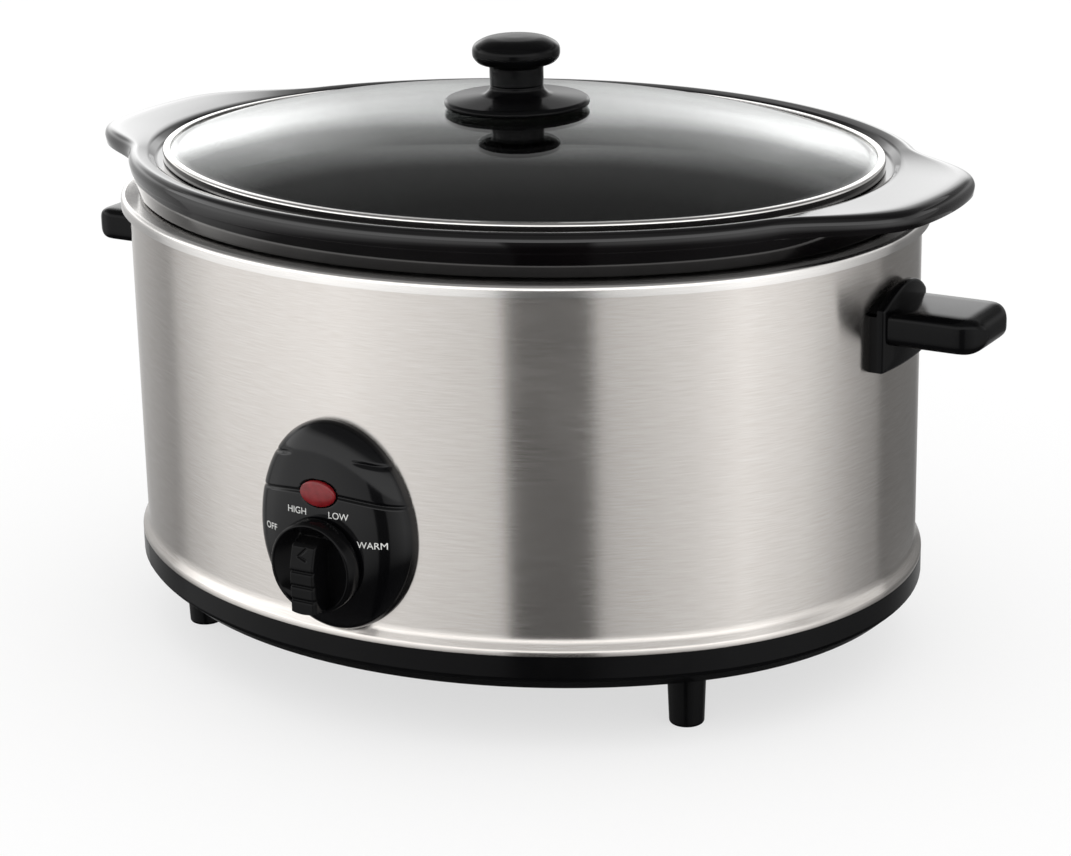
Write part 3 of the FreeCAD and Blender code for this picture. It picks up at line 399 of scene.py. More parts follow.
def grip_grid(side):
    """Rounded-rectangle sections (superellipse) carried out along X; their size closes in at the tip."""
    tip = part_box("handle_right")[1].x
    root = END_CENTRE + END_RADIUS - GRIP_SINK
    middle_z = GRIP_TOP - GRIP_THICK / 2
    s = np.sin(np.linspace(0, math.pi / 2, GRIP_ROWS))[:, None]
    x = root + (tip - root) * s
    near = np.clip((x - (tip - TIP_ROUND)) / TIP_ROUND, 0, 1)
    near_edge = np.clip((x - (tip - TIP_NOSE)) / TIP_NOSE, 0, 1)
    half_width = GRIP_HALF - TIP_ROUND * (1 - np.sqrt(1 - near ** 2))
    half_thick = GRIP_THICK / 2 * np.sqrt(1 - near_edge ** NOSE_POWER)
    around = np.linspace(0, TAU, GRIP_POINTS, endpoint=False)[None, :]
    c, v = np.cos(around), np.sin(around)
    across = half_width * np.sign(c) * np.abs(c) ** (2 / (EDGE_ROUND * 2))
    up = half_thick * np.sign(v) * np.abs(v) ** (2 / EDGE_ROUND)
    grid = np.stack([side * (x + 0 * across), AXIS_Y + across, middle_z + up], -1)
    root_point = grid[:1].mean(1, keepdims=True) + np.zeros((1, GRIP_POINTS, 3))
    return np.concatenate([root_point, grid], 0)


def plate_grid(side):
    """Rows of the plate's outline: up its edge, over a small round, and in to the middle of its face."""
    low, high = (corner.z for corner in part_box("handle_right"))
    arch = high - PLATE_SHOULDER
    top = np.linspace(-PLATE_HALF, PLATE_HALF, TOP_POINTS)
    right = np.linspace(PLATE_SHOULDER, low, SIDE_POINTS + 2)[1:-1]
    right_edge = np.full(SIDE_POINTS, PLATE_HALF)
    across = np.concatenate([top, right_edge, top[::-1], -right_edge])
    top_z = PLATE_SHOULDER + arch * (1 - (top / PLATE_HALF) ** 2)
    up = np.concatenate([top_z, right, np.full(TOP_POINTS, low), right[::-1]])
    middle = (low + PLATE_SHOULDER) / 2
    crest = np.where(np.arange(len(up)) < TOP_POINTS, RIDGE_STEP, 0.0)
    shrink, cut_back, rise = np.array(PLATE_ROWS).T[..., None]
    y = across * shrink
    z = middle + (up - crest * cut_back - middle) * shrink
    return np.stack([side * end_x(y, rise * MM), AXIS_Y + y, z], -1)


for side, name in ((-1, "handle_left"), (1, "handle_right")):
    surface(f"{name}_moulding", [(grip_grid(side), False, True), (plate_grid(side), False, True)],
            black_phenolic, "black_phenolic", "base", [name], sharp=40.0)


# Control panel: an egg-shaped glossy black moulding, screwed to the front of the wall. A seam groove
# crosses it through the red indicator, with a short notch on each side above and the dial below.
PANEL_HALF = 34.5 * MM
PANEL_BELLY = 81.3 * MM
PANEL_PROUD = 12.5 * MM
PANEL_SIDE = 1.5 * MM
PANEL_CROWN = 3.2
FOLLOW = 0.55
SEAM_DEPTH = 0.8 * MM
SEAM_WIDTH = 0.7 * MM
SEAM_DROP = 4.5 * MM
NOTCH_START = 13.0 * MM
NOTCH_TOP = 114.2 * MM
NOTCH_SLOPE = 0.21
NOTCH_RUN = 5 * MM
SOCKET_SIZE, SOCKET_WALL = 1.10, 0.06
PANEL_SINK = 0.3 * MM
PANEL_ROWS, PANEL_POINTS = 481, 129
LENS_Z = 100.5 * MM
LENS_HALF = (7.8 * MM, 5.1 * MM)
panel_low, panel_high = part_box("control_panel")


def wall_y(x, offset=0.0):
    """Front of the wall, offset outward, at a place across it."""
    return AXIS_Y + SIDE_CENTRE - np.sqrt((SIDE_RADIUS + offset) ** 2 - x ** 2)


def egg(x, z):
    """Distance from the egg's middle as a share of the distance to its edge."""
    reach = np.where(z > PANEL_BELLY, panel_high.z - PANEL_BELLY, PANEL_BELLY - panel_low.z)
    return np.sqrt((x / PANEL_HALF) ** 2 + ((z - PANEL_BELLY) / reach) ** 2)


def panel_y(x, z, seams=True):
    """Face of the panel: a flat crown that rounds off to the edge, less the seam grooves."""
    share = np.clip(egg(x, z), 0, 1)
    rise = PANEL_SIDE + (PANEL_PROUD - PANEL_SIDE) * np.sqrt(np.clip(1 - share ** PANEL_CROWN, 0, 1))
    back = (wall_y(x) - wall_y(0.0)) * (FOLLOW + (1 - FOLLOW) * share ** 4)
    face = wall_y(0.0) + back - rise
    if not seams:
        return face
    far = np.abs(x)
    mid = z - (LENS_Z - SEAM_DROP * (x / PANEL_HALF) ** 2)
    notch = z - (NOTCH_TOP - NOTCH_SLOPE * (far - NOTCH_START))
    fade = np.clip((far - NOTCH_START) / NOTCH_RUN, 0, 1)
    groove = np.maximum(np.exp(-(mid / SEAM_WIDTH) ** 2), fade * np.exp(-(notch / SEAM_WIDTH) ** 2))
    ring = np.sqrt((x / LENS_HALF[0]) ** 2 + ((z - LENS_Z) / LENS_HALF[1]) ** 2)
    socket = np.clip((SOCKET_SIZE - ring) / SOCKET_WALL, 0, 1)
    return face + SEAM_DEPTH * np.maximum(groove, socket)


t = np.linspace(-math.pi / 2, math.pi / 2, PANEL_ROWS)[:, None]
reach = np.where(t > 0, panel_high.z - PANEL_BELLY, PANEL_BELLY - panel_low.z)
panel_z = PANEL_BELLY + reach * np.sin(t)
across = np.sin(np.linspace(-math.pi / 2, math.pi / 2, PANEL_POINTS))[None, :]
panel_x = PANEL_HALF * np.cos(t) * across
panel_z = panel_z + 0 * panel_x
front = np.stack([panel_x, panel_y(panel_x, panel_z), panel_z], -1)
rim_back = front[:, [0, -1]].copy()
rim_back[..., 1] = wall_y(rim_back[..., 0], -PANEL_SINK)
panel_grid = np.concatenate([rim_back[:, :1], front, rim_back[:, 1:]], 1)

# Glossy black panel moulding: smoother than the tray.
panel_plastic = moulded("gloss_black_panel", "#050506", "#08080a",
                        roughness=0.10, grain=1.2 * MM, height=0.001 * MM, specular=0.3)
surface("panel", [(panel_grid, False, True)],
        panel_plastic, "black_plastic", "base", ["control_panel"], sharp=50.0)


# Indicator lens: a red translucent polycarbonate oval, moulded with a low crown. It is pressed into
# its socket in the panel, over the lamp.
LENS_CROWN = 1.1 * MM
LENS_STAND = 0.25 * MM
LENS_SINK = 0.7 * MM
LENS_POINTS = 72
LENS_RINGS = (0.0, 0.25, 0.5, 0.7, 0.85, 0.94, 0.985, 1.0, 1.0, 0.0)

around = np.linspace(0, TAU, LENS_POINTS, endpoint=False)[None, :]
share = np.array(LENS_RINGS)[:, None]
lift = LENS_STAND + LENS_CROWN * np.sqrt(1 - share ** 2)
lift[-2:] = -LENS_SINK
lens_x = LENS_HALF[0] * share * np.cos(around)
lens_z = LENS_Z + LENS_HALF[1] * share * np.sin(around)
lens_y = panel_y(0 * lens_x, LENS_Z + 0 * lens_z, False) - lift
# Red polycarbonate: dull, slightly cloudy, a little light passes into it.
red_lens = plain("red_polycarbonate", "#680b10", "#82191f", roughness=0.2, grain=4 * MM,
                 Subsurface_Weight=0.15, Subsurface_Scale=0.002)
surface("lens", [(np.stack([lens_x, lens_y, lens_z], -1), False, True)],
        red_lens, "red_lens", "base", ["indicator_lens"])


# Dial lettering: sans capitals in white ink, pad-printed on the panel round the knob. Each word is
# flat text laid on the panel's face.
LETTER_HEIGHT = 2.6 * MM
CAPITAL_SHARE = 0.69
INK = 0.06 * MM
LABELS = (("OFF", -23.6, 83.0), ("HIGH", -9.8, 92.4), ("LOW", 8.9, 92.7), ("WARM", 22.4, 82.5))
# White ink: matt, slightly uneven.
white_ink = plain("white_ink", "#d9d9d6", "#e6e6e3", roughness=0.55, grain=1 * MM)

for word, at_x, at_z in LABELS:
    text = bpy.data.curves.new(f"word_{word}", "FONT")
    text.body = word
    text.size = LETTER_HEIGHT / CAPITAL_SHARE
    text.align_x = "CENTER"
    text.align_y = "CENTER"
    holder = bpy.data.objects.new(f"word_{word}", text)
    bpy.context.collection.objects.link(holder)
    bpy.context.view_layer.update()
    flat = bpy.data.meshes.new_from_object(holder.evaluated_get(bpy.context.evaluated_depsgraph_get()))
    bpy.data.objects.remove(holder)
    points = np.zeros(len(flat.vertices) * 3)
    flat.vertices.foreach_get("co", points)
    points = points.reshape(-1, 3)
    letter_x = at_x * MM + points[:, 0]
    letter_z = at_z * MM + points[:, 1]
    letter_y = panel_y(letter_x, letter_z, False) - INK
    flat.vertices.foreach_set("co", np.stack([letter_x, letter_y, letter_z], -1).ravel())
    flat.materials.clear()
    flat.materials.append(white_ink)
    made = bpy.data.objects.new(f"label_{word}", flat)
    bpy.context.collection.objects.link(made)
    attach(made, "base")


# Control knob: a black phenolic dial on the switch shaft. A round skirt is scooped out above and on
# each side of a finger bar, which has a pointer mark and three grooves across it.
KNOB_RADIUS = 18.5 * MM
KNOB_RIM = 17.0 * MM
RIM_HEIGHT = 6.6 * MM
RIM_SHARE = 0.96
HOLLOW = 3.6 * MM
HOLLOW_LEAN = 0.38
HOLLOW_RUN = 6 * MM
SCOOP = 0.8 * HOLLOW
SCOOP_EDGE = 4 * MM
SCOOP_RUN = 2 * MM
BAR_HALF = 4.7 * MM
BAR_HEIGHT = 12.4 * MM
BAR_TOP = 11.0 * MM
BAR_FOOT = 18.0 * MM
BAR_FLANK = 1.4 * MM
BAR_END = 1.2 * MM
BAR_ROUND = 0.7
FACET_START = 2.6 * MM
FACET_DROP = 2.4 * MM
GROOVES = (0.6 * MM, -5.2 * MM, -10.8 * MM)
GROOVE_DEPTH = 0.7 * MM
GROOVE_WIDTH = 0.55 * MM
MARK = ((1.3 * MM, 9.6 * MM), (-1.6 * MM, 6.6 * MM), (1.8 * MM, 5.4 * MM))
MARK_DEPTH = 0.5 * MM
MARK_WIDTH = 0.4 * MM
KNOB_Z = 72.5 * MM
KNOB_COLUMNS, KNOB_ROWS, KNOB_AROUND = 141, 181, 144
COLUMN_POWER = 1.25
knob_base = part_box("control_knob")[0].y + BAR_HEIGHT


def to_line(x, z, start, end):
    """Distance from points to a straight stroke."""
    along = np.array(end) - np.array(start)
    share = ((x - start[0]) * along[0] + (z - start[1]) * along[1]) / (along @ along)
    share = np.clip(share, 0, 1)
    return np.hypot(x - start[0] - share * along[0], z - start[1] - share * along[1])


def knob_height(x, z):
    """Height of the dial over its base: the higher of the bar and the hollowed skirt."""
    far = np.abs(x)
    edge = np.sqrt(np.clip(KNOB_RIM ** 2 - z ** 2, 0, None))
    out = np.clip((far - BAR_HALF) / np.maximum(edge - BAR_HALF, 0.1 * MM), 0, 1)
    run_out = np.clip((edge - BAR_HALF) / HOLLOW_RUN, 0, 1)
    hollow = HOLLOW * np.sin(math.pi * out ** HOLLOW_LEAN) * run_out
    inward = np.clip((KNOB_RIM - np.hypot(x, z)) / SCOOP_EDGE, 0, 1)
    above = np.clip((z - BAR_TOP) / SCOOP_RUN + 0.5, 0, 1) * inward
    skirt = RIM_HEIGHT - np.maximum(hollow, SCOOP * above)
    face = BAR_HEIGHT - FACET_DROP * np.clip((z - FACET_START) / (BAR_TOP - FACET_START), 0, 1)
    for at in GROOVES:
        face = face - GROOVE_DEPTH * np.exp(-((z - at) / GROOVE_WIDTH) ** 2)
    stroke = np.minimum(to_line(x, z, MARK[0], MARK[1]), to_line(x, z, MARK[1], MARK[2]))
    face = face - MARK_DEPTH * np.exp(-(stroke / MARK_WIDTH) ** 2)
    side = np.clip((BAR_HALF + BAR_FLANK - far) / BAR_FLANK, 0, 1)
    reach = np.where(z > 0, BAR_TOP, BAR_FOOT) + BAR_END
    tail = np.clip((reach - np.abs(z)) / (2 * BAR_END), 0, 1)
    keep = (np.sin(side * math.pi / 2) * np.sin(tail * math.pi / 2)) ** BAR_ROUND
    return skirt + np.clip(face - skirt, 0, None) * keep


u = np.linspace(-1, 1, KNOB_COLUMNS)[:, None]
column_x = KNOB_RIM * np.sign(u) * np.abs(u) ** COLUMN_POWER
column_x = (KNOB_RIM * np.sin(u * math.pi / 2) + column_x) / 2
v = np.linspace(-1, 1, KNOB_ROWS)[None, :]
face_z = np.sqrt(np.clip(KNOB_RIM ** 2 - column_x ** 2, 0, None)) * v
face_x = column_x + 0 * face_z
height = knob_height(face_x, face_z)
edge_share = np.clip(np.hypot(face_x, face_z) / KNOB_RIM, 0, 1)
to_rim = np.clip((edge_share - RIM_SHARE) / (1 - RIM_SHARE), 0, 1)
height = height + (RIM_HEIGHT - height) * to_rim
knob_face = np.stack([face_x, knob_base - height, KNOB_Z + face_z], -1)

turn = np.linspace(0, TAU, KNOB_AROUND, endpoint=False)[:, None]
skirt_profile = np.array([
    (KNOB_RIM, RIM_HEIGHT), (KNOB_RIM + 0.5 * MM, RIM_HEIGHT - 0.15 * MM),
    (KNOB_RIM + 0.9 * MM, RIM_HEIGHT - 0.7 * MM), (KNOB_RADIUS - 0.1 * MM, 1.0 * MM),
    (KNOB_RADIUS, 0.5 * MM), (KNOB_RADIUS - 0.2 * MM, 0.0), (0.0, 0.0)])
skirt_r, skirt_h = skirt_profile[None, :, 0], skirt_profile[None, :, 1]
knob_side = np.stack([skirt_r * np.cos(turn), knob_base - skirt_h + 0 * turn,
                      KNOB_Z + skirt_r * np.sin(turn)], -1)
surface("dial", [(knob_face, False, False), (knob_side, True, False)],
        black_phenolic, "black_phenolic", "control_knob", ["control_knob"], sharp=60.0)


# Crock: black glazed stoneware, cast and fired, dropped into the liner. Its thick rim, with an ear at
# each end, stands over the flange, and a gutter inside the rim takes the lid.
RIM_OUTSIDE = 0.5 * MM
RIM_WAIST = 1.6 * MM
RIM_FOOT = 4.2 * MM
RIM_DIP = 1.0 * MM
SHOULDER = 3.4 * MM
RIM_INSIDE = 8.7 * MM
GUTTER = 11.7 * MM
CROCK_OUTSIDE = 15.0 * MM
CROCK_INSIDE = 21.5 * MM
CROCK_DRAFT = 8.0 * MM
CROCK_CORNER = 24.0 * MM
CROCK_FLOOR = 57.0 * MM
RIM_BOTTOM = 185.3 * MM
LEDGE = 198.9 * MM
EAR_THICK = 7.5 * MM
EAR_TIP = math.radians(10.0)
EAR_FLANK = math.radians(24.0)
GLAZE_ROUND = 1.6 * MM
GLAZE_WAVE = 22 * MM
GLAZE_MOTTLE = 3 * MM
WAVE_DEPTH = 0.05 * MM
crock_low, crock_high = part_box("stoneware_crock")
rim_top = crock_high.z
ear_reach = crock_high.x - END_CENTRE


def ear(turn):
    """How far the rim stands out at the ends: full over the tip, then a half cosine wave down to the rim."""
    bearing = np.abs(np.arctan2(np.sin(turn), np.abs(np.cos(turn))))
    share = np.clip((bearing - EAR_TIP) / EAR_FLANK, 0.0, 1.0)
    return (ear_reach - END_RADIUS + RIM_OUTSIDE) * (1 + np.cos(share * math.pi)) / 2


# Black stoneware glaze: deep gloss over a slightly wavy body, faint pooling.
gloss_coat = {"Specular IOR Level": 0.05, "Coat Weight": 1.0, "Coat IOR": 1.55, "Coat Roughness": 0.05}
black_glaze, tree, shader = finish_of("black_stoneware_glaze", gloss_coat)
wave = speckle(tree, GLAZE_WAVE, detail=1.0)
tree.links.new(blend(tree, wave, "#050405", "#0a0809"), shader.inputs["Base Color"])
gloss = spread(tree, speckle(tree, GLAZE_MOTTLE), low=0.06, high=0.10)
tree.links.new(gloss, shader.inputs["Roughness"])
relief(tree, shader, wave, WAVE_DEPTH, strength=0.5)

# Corners of the section, from the underside round to the floor: offset, height, share of the ear's
# reach, and the length cut off the corner.
under = rim_top - EAR_THICK
crock_profile = softened([
    (-CROCK_OUTSIDE - CROCK_DRAFT - FLOOR_EDGE, crock_low.z, 0.0, 0.0),
    (-CROCK_OUTSIDE - CROCK_DRAFT, crock_low.z, 0.0, CROCK_CORNER),
    (-CROCK_OUTSIDE, RIM_BOTTOM, 0.0, 0.6 * MM),
    (-RIM_FOOT, RIM_BOTTOM, 0.0, GLAZE_ROUND),
    (-RIM_WAIST, under - 0.6 * MM, 0.0, 0.6 * MM),
    (-RIM_WAIST + 0.2 * MM, under, 0.1, 0.3 * MM),
    (-RIM_OUTSIDE - 1.0 * MM, under, 0.93, 0.3 * MM),
    (-RIM_OUTSIDE - 0.8 * MM, under, 1.0, 0.8 * MM),
    (-RIM_OUTSIDE, rim_top - SHOULDER, 1.0, 1.5 * MM),
    (-RIM_OUTSIDE - 0.27 * SHOULDER, rim_top - 0.27 * SHOULDER, 0.98, 1.2 * MM),
    (-RIM_OUTSIDE - SHOULDER, rim_top, 0.93, 1.2 * MM),
    (-RIM_INSIDE, rim_top - RIM_DIP, 0.0, 0.8 * MM),
    (-GUTTER, LEDGE, 0.0, 1.0 * MM),
    (-CROCK_INSIDE, LEDGE, 0.0, 2.4 * MM),
    (-CROCK_INSIDE - CROCK_DRAFT, CROCK_FLOOR, 0.0, CROCK_CORNER),
    (-CROCK_INSIDE - CROCK_DRAFT - FLOOR_EDGE, CROCK_FLOOR, 0.0, 0.0),
])
crock_grid = capped(oval_grid(crock_profile, ear), crock_low.z, CROCK_FLOOR)
surface("crock", [(crock_grid, True, False)], black_glaze, "black_stoneware", "crock",
        ["stoneware_crock"], sharp=60.0)


# Lid glass: tempered soda-lime glass, pressed to a low dome with a flat edge. The edge is held in the
# steel band, which rests in the crock's gutter.
GLASS_EDGE = 15.4 * MM
GLASS_THICK = 3.0 * MM
DOME_START = 19.0 * MM
DOME_POWER = 2.7
GLASS_ROUND = 0.4 * MM
GLASS_RINGS = 41
RING_POWER = 0.8
GLASS_MOTTLE = 30 * MM
glass_low, glass_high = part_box("lid_glass")
glass_edge_top = glass_low.z + GLASS_THICK
dome_rise = glass_high.z - glass_edge_top

turn = np.linspace(0, TAU, AROUND, endpoint=False)[:, None]
s = np.linspace(0, 1, GLASS_RINGS)[None, :] ** RING_POWER
edge_x, edge_y = oval(-DOME_START, turn)
dome_x = edge_x * s
dome_y = AXIS_Y + (edge_y - AXIS_Y) * s
dome_z = glass_edge_top + dome_rise * (1 - s ** DOME_POWER) + 0 * dome_x
dome = np.stack([dome_x, dome_y, dome_z], -1)
inner_dome = dome[:, ::-1] - np.array([0, 0, GLASS_THICK])
rim_profile = np.array([
    (-GLASS_EDGE - GLASS_ROUND, glass_edge_top), (-GLASS_EDGE, glass_edge_top - GLASS_ROUND),
    (-GLASS_EDGE, glass_low.z + GLASS_ROUND), (-GLASS_EDGE - GLASS_ROUND, glass_low.z)])
glass_grid = np.concatenate([dome, oval_grid(rim_profile), inner_dome], 1)

# Tempered soda-lime glass: clear with a faint grey-green, polished.
lid_glass, tree, shader = finish_of(
    "tempered_glass", {"Transmission Weight": 1.0, "IOR": 1.5, "Base Color": linear("#f1f5f3")})
gloss = spread(tree, speckle(tree, GLASS_MOTTLE), low=0.0, high=0.015)
tree.links.new(gloss, shader.inputs["Roughness"])
surface("glass", [(glass_grid, True, False)], lid_glass, "lid_glass", "lid", ["lid_glass"], sharp=60.0)


# Lid band: a polished stainless strip, rolled to a U and closed over the edge of the glass. It shows
# as the bright line round the lid.
BAND_OUTSIDE = 14.8 * MM
BAND_WIDTH = 3.2 * MM
BAND_SHEET = 0.55 * MM
BAND_ROUND = 1.1 * MM

band_low, band_high = (corner.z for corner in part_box("lid_rim"))
band_profile = softened([
    (-BAND_OUTSIDE - BAND_WIDTH, band_low, 0.0),
    (-BAND_OUTSIDE, band_low, 0.5 * MM),
    (-BAND_OUTSIDE, band_high, BAND_ROUND),
    (-BAND_OUTSIDE - BAND_WIDTH, band_high, 0.2 * MM),
    (-BAND_OUTSIDE - BAND_WIDTH, band_high - BAND_SHEET, 0.0),
    (-BAND_OUTSIDE - BAND_SHEET, band_high - BAND_SHEET, 0.0),
    (-BAND_OUTSIDE - BAND_SHEET, band_low + BAND_SHEET, 0.0),
    (-BAND_OUTSIDE - BAND_WIDTH, band_low + BAND_SHEET, 0.0),
])
# Polished stainless band: near mirror with faint polishing lines.
lid_band = rolled_steel("polished_stainless", "#f0eeeb", "#e8e5e2",
                        roughness=0.12, anisotropy=0.2, grain=0.4 * MM)
surface("lid_band", [(oval_grid(band_profile), True, True)], lid_band, "lid_band", "lid", ["lid_rim"])


# Knob disc: a black phenolic disc with a short collar, moulded in one. It lies on the gasket on top
# of the glass, under the knob.
STEM_RADIUS = 11.0 * MM
LATHE_POINTS = 128
LATHE_STEPS = 7


def turned(profile):
    """Turns a profile (radius, height), which starts and ends on the axis, about the lid's axis."""
    line = softened(profile, LATHE_STEPS)
    angle = np.linspace(0, TAU, LATHE_POINTS, endpoint=False)[:, None]
    x = line[None, :, 0] * np.cos(angle)
    y = AXIS_Y + line[None, :, 0] * np.sin(angle)
    z = line[None, :, 1] + 0 * x
    return np.stack([x, y, z], -1)


disc_low, disc_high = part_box("knob_skirt")
DISC_RADIUS = (disc_high.x - disc_low.x) / 2
disc_profile = [
    (0.0, disc_low.z, 0.0),
    (DISC_RADIUS - 0.8 * MM, disc_low.z, 0.6 * MM),
    (DISC_RADIUS, disc_low.z + 1.4 * MM, 0.8 * MM),
    (DISC_RADIUS - 1.0 * MM, disc_low.z + 2.8 * MM, 1.0 * MM),
    (STEM_RADIUS + 2.6 * MM, disc_low.z + 4.6 * MM, 2.4 * MM),
    (STEM_RADIUS, disc_high.z - 1.6 * MM, 1.6 * MM),
    (STEM_RADIUS, disc_high.z, 0.5 * MM),
    (0.0, disc_high.z, 0.0),
]
surface("lid_disc", [(turned(disc_profile), True, False)], black_phenolic, "black_phenolic", "lid",
        ["knob_skirt"], sharp=50.0)


# Lid knob: a black phenolic mushroom, moulded in one with its stem. One screw from under the glass
# pulls it down on the disc.
knob_low, knob_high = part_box("lid_knob")
HEAD_RADIUS = (knob_high.x - knob_low.x) / 2
head_profile = [
    (0.0, knob_low.z, 0.0),
    (STEM_RADIUS, knob_low.z, 0.5 * MM),
    (STEM_RADIUS, knob_low.z + 8.2 * MM, 1.2 * MM),
    (HEAD_RADIUS - 2.4 * MM, knob_low.z + 8.8 * MM, 1.6 * MM),
    (HEAD_RADIUS, knob_low.z + 11.4 * MM, 2.0 * MM),
    (HEAD_RADIUS, knob_high.z - 3.6 * MM, 2.6 * MM),
    (HEAD_RADIUS * 0.70, knob_high.z - 0.5 * MM, 4.0 * MM),
    (HEAD_RADIUS * 0.25, knob_high.z, 4.0 * MM),
    (0.0, knob_high.z, 0.0),
]
surface("lid_mushroom", [(turned(head_profile), True, False)], black_phenolic, "black_phenolic", "lid",
        ["lid_knob"], sharp=50.0)


# Studio: a pale floor, even white light from all round, and cloths that only reflections see: a ring
# of cards with a soft panel to the left, one to the right and a darker gap between, a hood that
# darkens overhead, and a pale back wall with two brighter patches.
FLOOR_HALF = 12.0
CARD_PROFILE = np.array([(0.0, -2.0), (2.6, -2.0), (2.6, 0.45)])
CARD_STOPS = ((-180, 0.45), (-120, 0.3), (-100, 0.28), (-70, 0.8), (-30, 1.0), (-10, 0.84), (11.5, 0.68),
              (13.0, 0.09), (33.0, 0.09), (34.5, 0.54), (76, 1.0), (100, 0.8), (124, 0.42), (138, 0.28),
              (180, 0.45))
CARD_LEVELS = ((-2.0, 0.07), (-1.6, 0.1), (-1.05, 0.64), (-0.4, 1.0), (0.45, 1.0))
CARD_GAIN = 1.2
HOOD_PROFILE = np.array([(1.6, 0.3), (1.6, 1.9), (0.0, 1.9)])
HOOD_STOPS = ((-180, 0.5), (-100, 0.5), (-80, 1.0), (80, 1.0), (100, 0.5), (180, 0.5))
HOOD_LEVELS = ((0.3, 1.0), (0.8, 0.9), (1.25, 0.2), (1.9, 0.14))
HOOD_GAIN = 1.7
BACK_PROFILE = np.array([(1.35, -0.45), (1.35, 0.85)])
BACK_SPAN = (-222.0, -88.0)
BACK_STOPS = ((-180, 0.24), (-172, 0.6), (-166, 0.9), (-158, 0.58), (-150, 0.37), (-142, 0.5), (-133, 1.0),
              (-120, 0.65), (-88, 0.36), (138, 0.2), (180, 0.24))
BACK_LEVELS = ((-0.45, 0.25), (-0.1, 0.36), (0.2, 0.52), (0.34, 0.8), (0.42, 1.0), (0.52, 1.0), (0.6, 0.72),
               (0.66, 0.45), (0.85, 0.3))
BACK_GAIN = 2.4
SKY = 1.05
SHADOW_SHARE = 0.34
CLOTH_POINTS = 97

floor_mesh = bpy.data.meshes.new("floor")
corners = np.array([(-1, -1, 0), (1, -1, 0), (1, 1, 0), (-1, 1, 0)]) * FLOOR_HALF
floor_mesh.from_pydata(corners.tolist(), [], [(0, 1, 2, 3)])
floor = bpy.data.objects.new("floor", floor_mesh)
bpy.context.collection.objects.link(floor)
floor.visible_glossy = False
# White matt paper, lit from below: the camera sees part of it as plain white, the rest keeps the shadow.
paper, tree, shader = finish_of("white_paper", {"Base Color": linear("#ffffff"), "Roughness": 0.9})
shader.inputs["Specular IOR Level"].default_value = 0.0
glow = node(tree, "ShaderNodeEmission", {"Strength": 1.0}).outputs["Emission"]
seen = node(tree, "ShaderNodeLightPath").outputs["Is Camera Ray"]
share = node(tree, "ShaderNodeMath", {0: seen, 1: 1 - SHADOW_SHARE}, operation="MULTIPLY").outputs[0]
mixed = node(tree, "ShaderNodeMixShader", {0: share, 1: shader.outputs["BSDF"], 2: glow})
tree.links.new(mixed.outputs[0], tree.nodes["Material Output"].inputs["Surface"])
floor_mesh.materials.append(paper)


def level_along(tree, value, stops):
    """Grey level that follows a value through stops (value, level)."""
    low, high = stops[0][0], stops[-1][0]
    inputs = {"Value": value, "From Min": low, "From Max": high, "To Min": 0.0, "To Max": 1.0}
    share = node(tree, "ShaderNodeMapRange", inputs).outputs["Result"]
    ramp = node(tree, "ShaderNodeValToRGB", {"Fac": share})
    while len(ramp.color_ramp.elements) < len(stops):
        ramp.color_ramp.elements.new(0.5)
    for stop, (at, level) in zip(ramp.color_ramp.elements, stops):
        stop.position = (at - low) / (high - low)
        stop.color = (level, level, level, 1.0)
    return ramp.outputs["Color"]


def lit_cloth(name, gain, levels, stops):
    """Cloth that glows by its height through levels, times its bearing in degrees through stops,
    times gain."""
    made = bpy.data.materials.new(name)
    made.use_nodes = True
    tree = made.node_tree
    tree.nodes.clear()
    place = node(tree, "ShaderNodeTexCoord").outputs["Object"]
    parts = node(tree, "ShaderNodeSeparateXYZ", {"Vector": place}).outputs
    ahead = node(tree, "ShaderNodeMath", {0: AXIS_Y, 1: parts["Y"]}, operation="SUBTRACT").outputs[0]
    bearing = node(tree, "ShaderNodeMath", {0: parts["X"], 1: ahead}, operation="ARCTAN2").outputs[0]
    degrees = node(tree, "ShaderNodeMath", {0: bearing}, operation="DEGREES").outputs[0]
    level = level_along(tree, parts["Z"], levels)
    strength = node(tree, "ShaderNodeMath", {0: level, 1: gain}, operation="MULTIPLY").outputs[0]
    colour = level_along(tree, degrees, stops)
    light = node(tree, "ShaderNodeEmission", {"Color": colour, "Strength": strength})
    node(tree, "ShaderNodeOutputMaterial", {"Surface": light.outputs["Emission"]})
    return made


def reflected_only(name, profile, material, span=(0.0, 360.0)):
    """A cloth of the studio that shows in reflections and nowhere else: a profile (radius, height)
    carried round the part over a span of bearings in degrees, where 0 is the front and + is to the right."""
    bearing = np.radians(np.linspace(*span, CLOTH_POINTS))[:, None]
    x = profile[None, :, 0] * np.sin(bearing)
    y = AXIS_Y - profile[None, :, 0] * np.cos(bearing)
    grid = np.stack([x, y, profile[None, :, 1] + 0 * x], -1)
    mesh = bpy.data.meshes.new(name)
    mesh.from_pydata(grid.reshape(-1, 3).tolist(), [], quads(grid.shape, False, False, 0).tolist())
    mesh.materials.append(material)
    made = bpy.data.objects.new(name, mesh)
    bpy.context.collection.objects.link(made)
    made.visible_camera = False
    made.visible_diffuse = False
    made.visible_shadow = False
    return made


card_cloth = lit_cloth("soft_cards", CARD_GAIN, CARD_LEVELS, CARD_STOPS)
hood_cloth = lit_cloth("hood_cloth", HOOD_GAIN, HOOD_LEVELS, HOOD_STOPS)
back_cloth = lit_cloth("back_cloth", BACK_GAIN, BACK_LEVELS, BACK_STOPS)
cards = reflected_only("reflection_cards", CARD_PROFILE, card_cloth)
hood = reflected_only("hood", HOOD_PROFILE, hood_cloth)
back_wall = reflected_only("back_wall", BACK_PROFILE, back_cloth, BACK_SPAN)

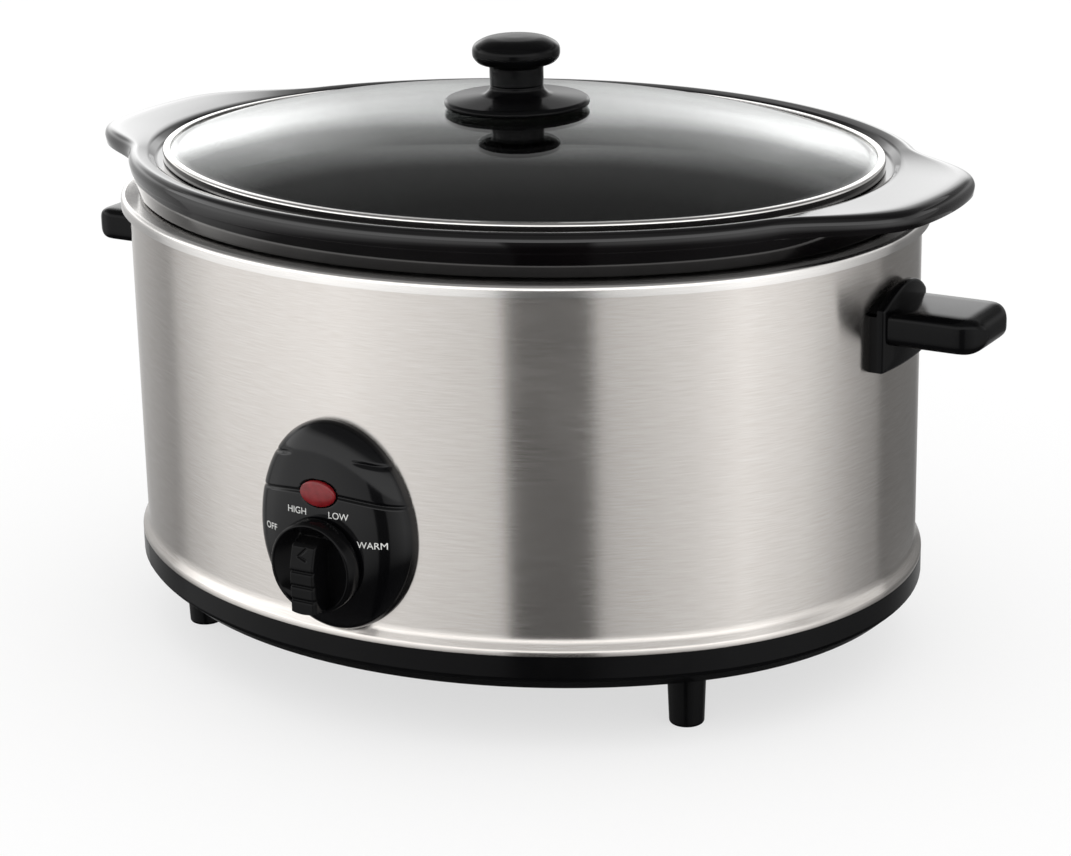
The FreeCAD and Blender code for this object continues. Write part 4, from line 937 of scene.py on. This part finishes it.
world = bpy.data.worlds.new("white_studio")
world.use_nodes = True
tree = world.node_tree
tree.nodes.clear()
rays = node(tree, "ShaderNodeLightPath").outputs
mirrored = {0: rays["Is Camera Ray"], 1: rays["Is Glossy Ray"]}
seen = node(tree, "ShaderNodeMath", mirrored, operation="ADD").outputs[0]
through = {0: seen, 1: rays["Is Transmission Ray"]}
seen = node(tree, "ShaderNodeMath", through, operation="ADD", use_clamp=True)
level = {"Value": seen.outputs[0], "From Min": 0.0, "From Max": 1.0, "To Min": SKY, "To Max": 1.0}
strength = node(tree, "ShaderNodeMapRange", level).outputs["Result"]
sky = node(tree, "ShaderNodeBackground", {"Color": (1, 1, 1, 1), "Strength": strength})
node(tree, "ShaderNodeOutputWorld", {"Surface": sky.outputs["Background"]})
bpy.context.scene.world = world
bpy.context.scene.view_settings.view_transform = "Standard"


# Camera: at the photograph's angle, a little above the lid and to the right of the front. Its place,
# turn, dip and roll are those that lay the part over the photograph.
CAMERA_PLACE = (0.5964, -0.9976, 0.4646)
CAMERA_TURN = math.radians(30.37)
CAMERA_DIP = math.radians(18.11)
CAMERA_ROLL = math.radians(-1.1)
LENS_MM = 98.13
SENSOR_MM = 36.0
NEAR, FAR = 0.05, 100.0
camera = bpy.data.objects.new("camera", bpy.data.cameras.new("camera"))
bpy.context.collection.objects.link(camera)
camera.data.lens = LENS_MM
camera.data.sensor_width = SENSOR_MM
camera.data.sensor_fit = "HORIZONTAL"
camera.data.clip_start = NEAR
camera.data.clip_end = FAR
level_back = Vector((math.sin(CAMERA_TURN), -math.cos(CAMERA_TURN), 0.0))
back = math.cos(CAMERA_DIP) * level_back + math.sin(CAMERA_DIP) * Vector((0.0, 0.0, 1.0))
level_right = Vector((math.cos(CAMERA_TURN), math.sin(CAMERA_TURN), 0.0))
level_up = back.cross(level_right)
right = math.cos(CAMERA_ROLL) * level_right + math.sin(CAMERA_ROLL) * level_up
up = back.cross(right)
turned_to = Matrix((right, up, back)).transposed().to_4x4()
camera.matrix_world = Matrix.Translation(CAMERA_PLACE) @ turned_to
bpy.context.scene.camera = camera
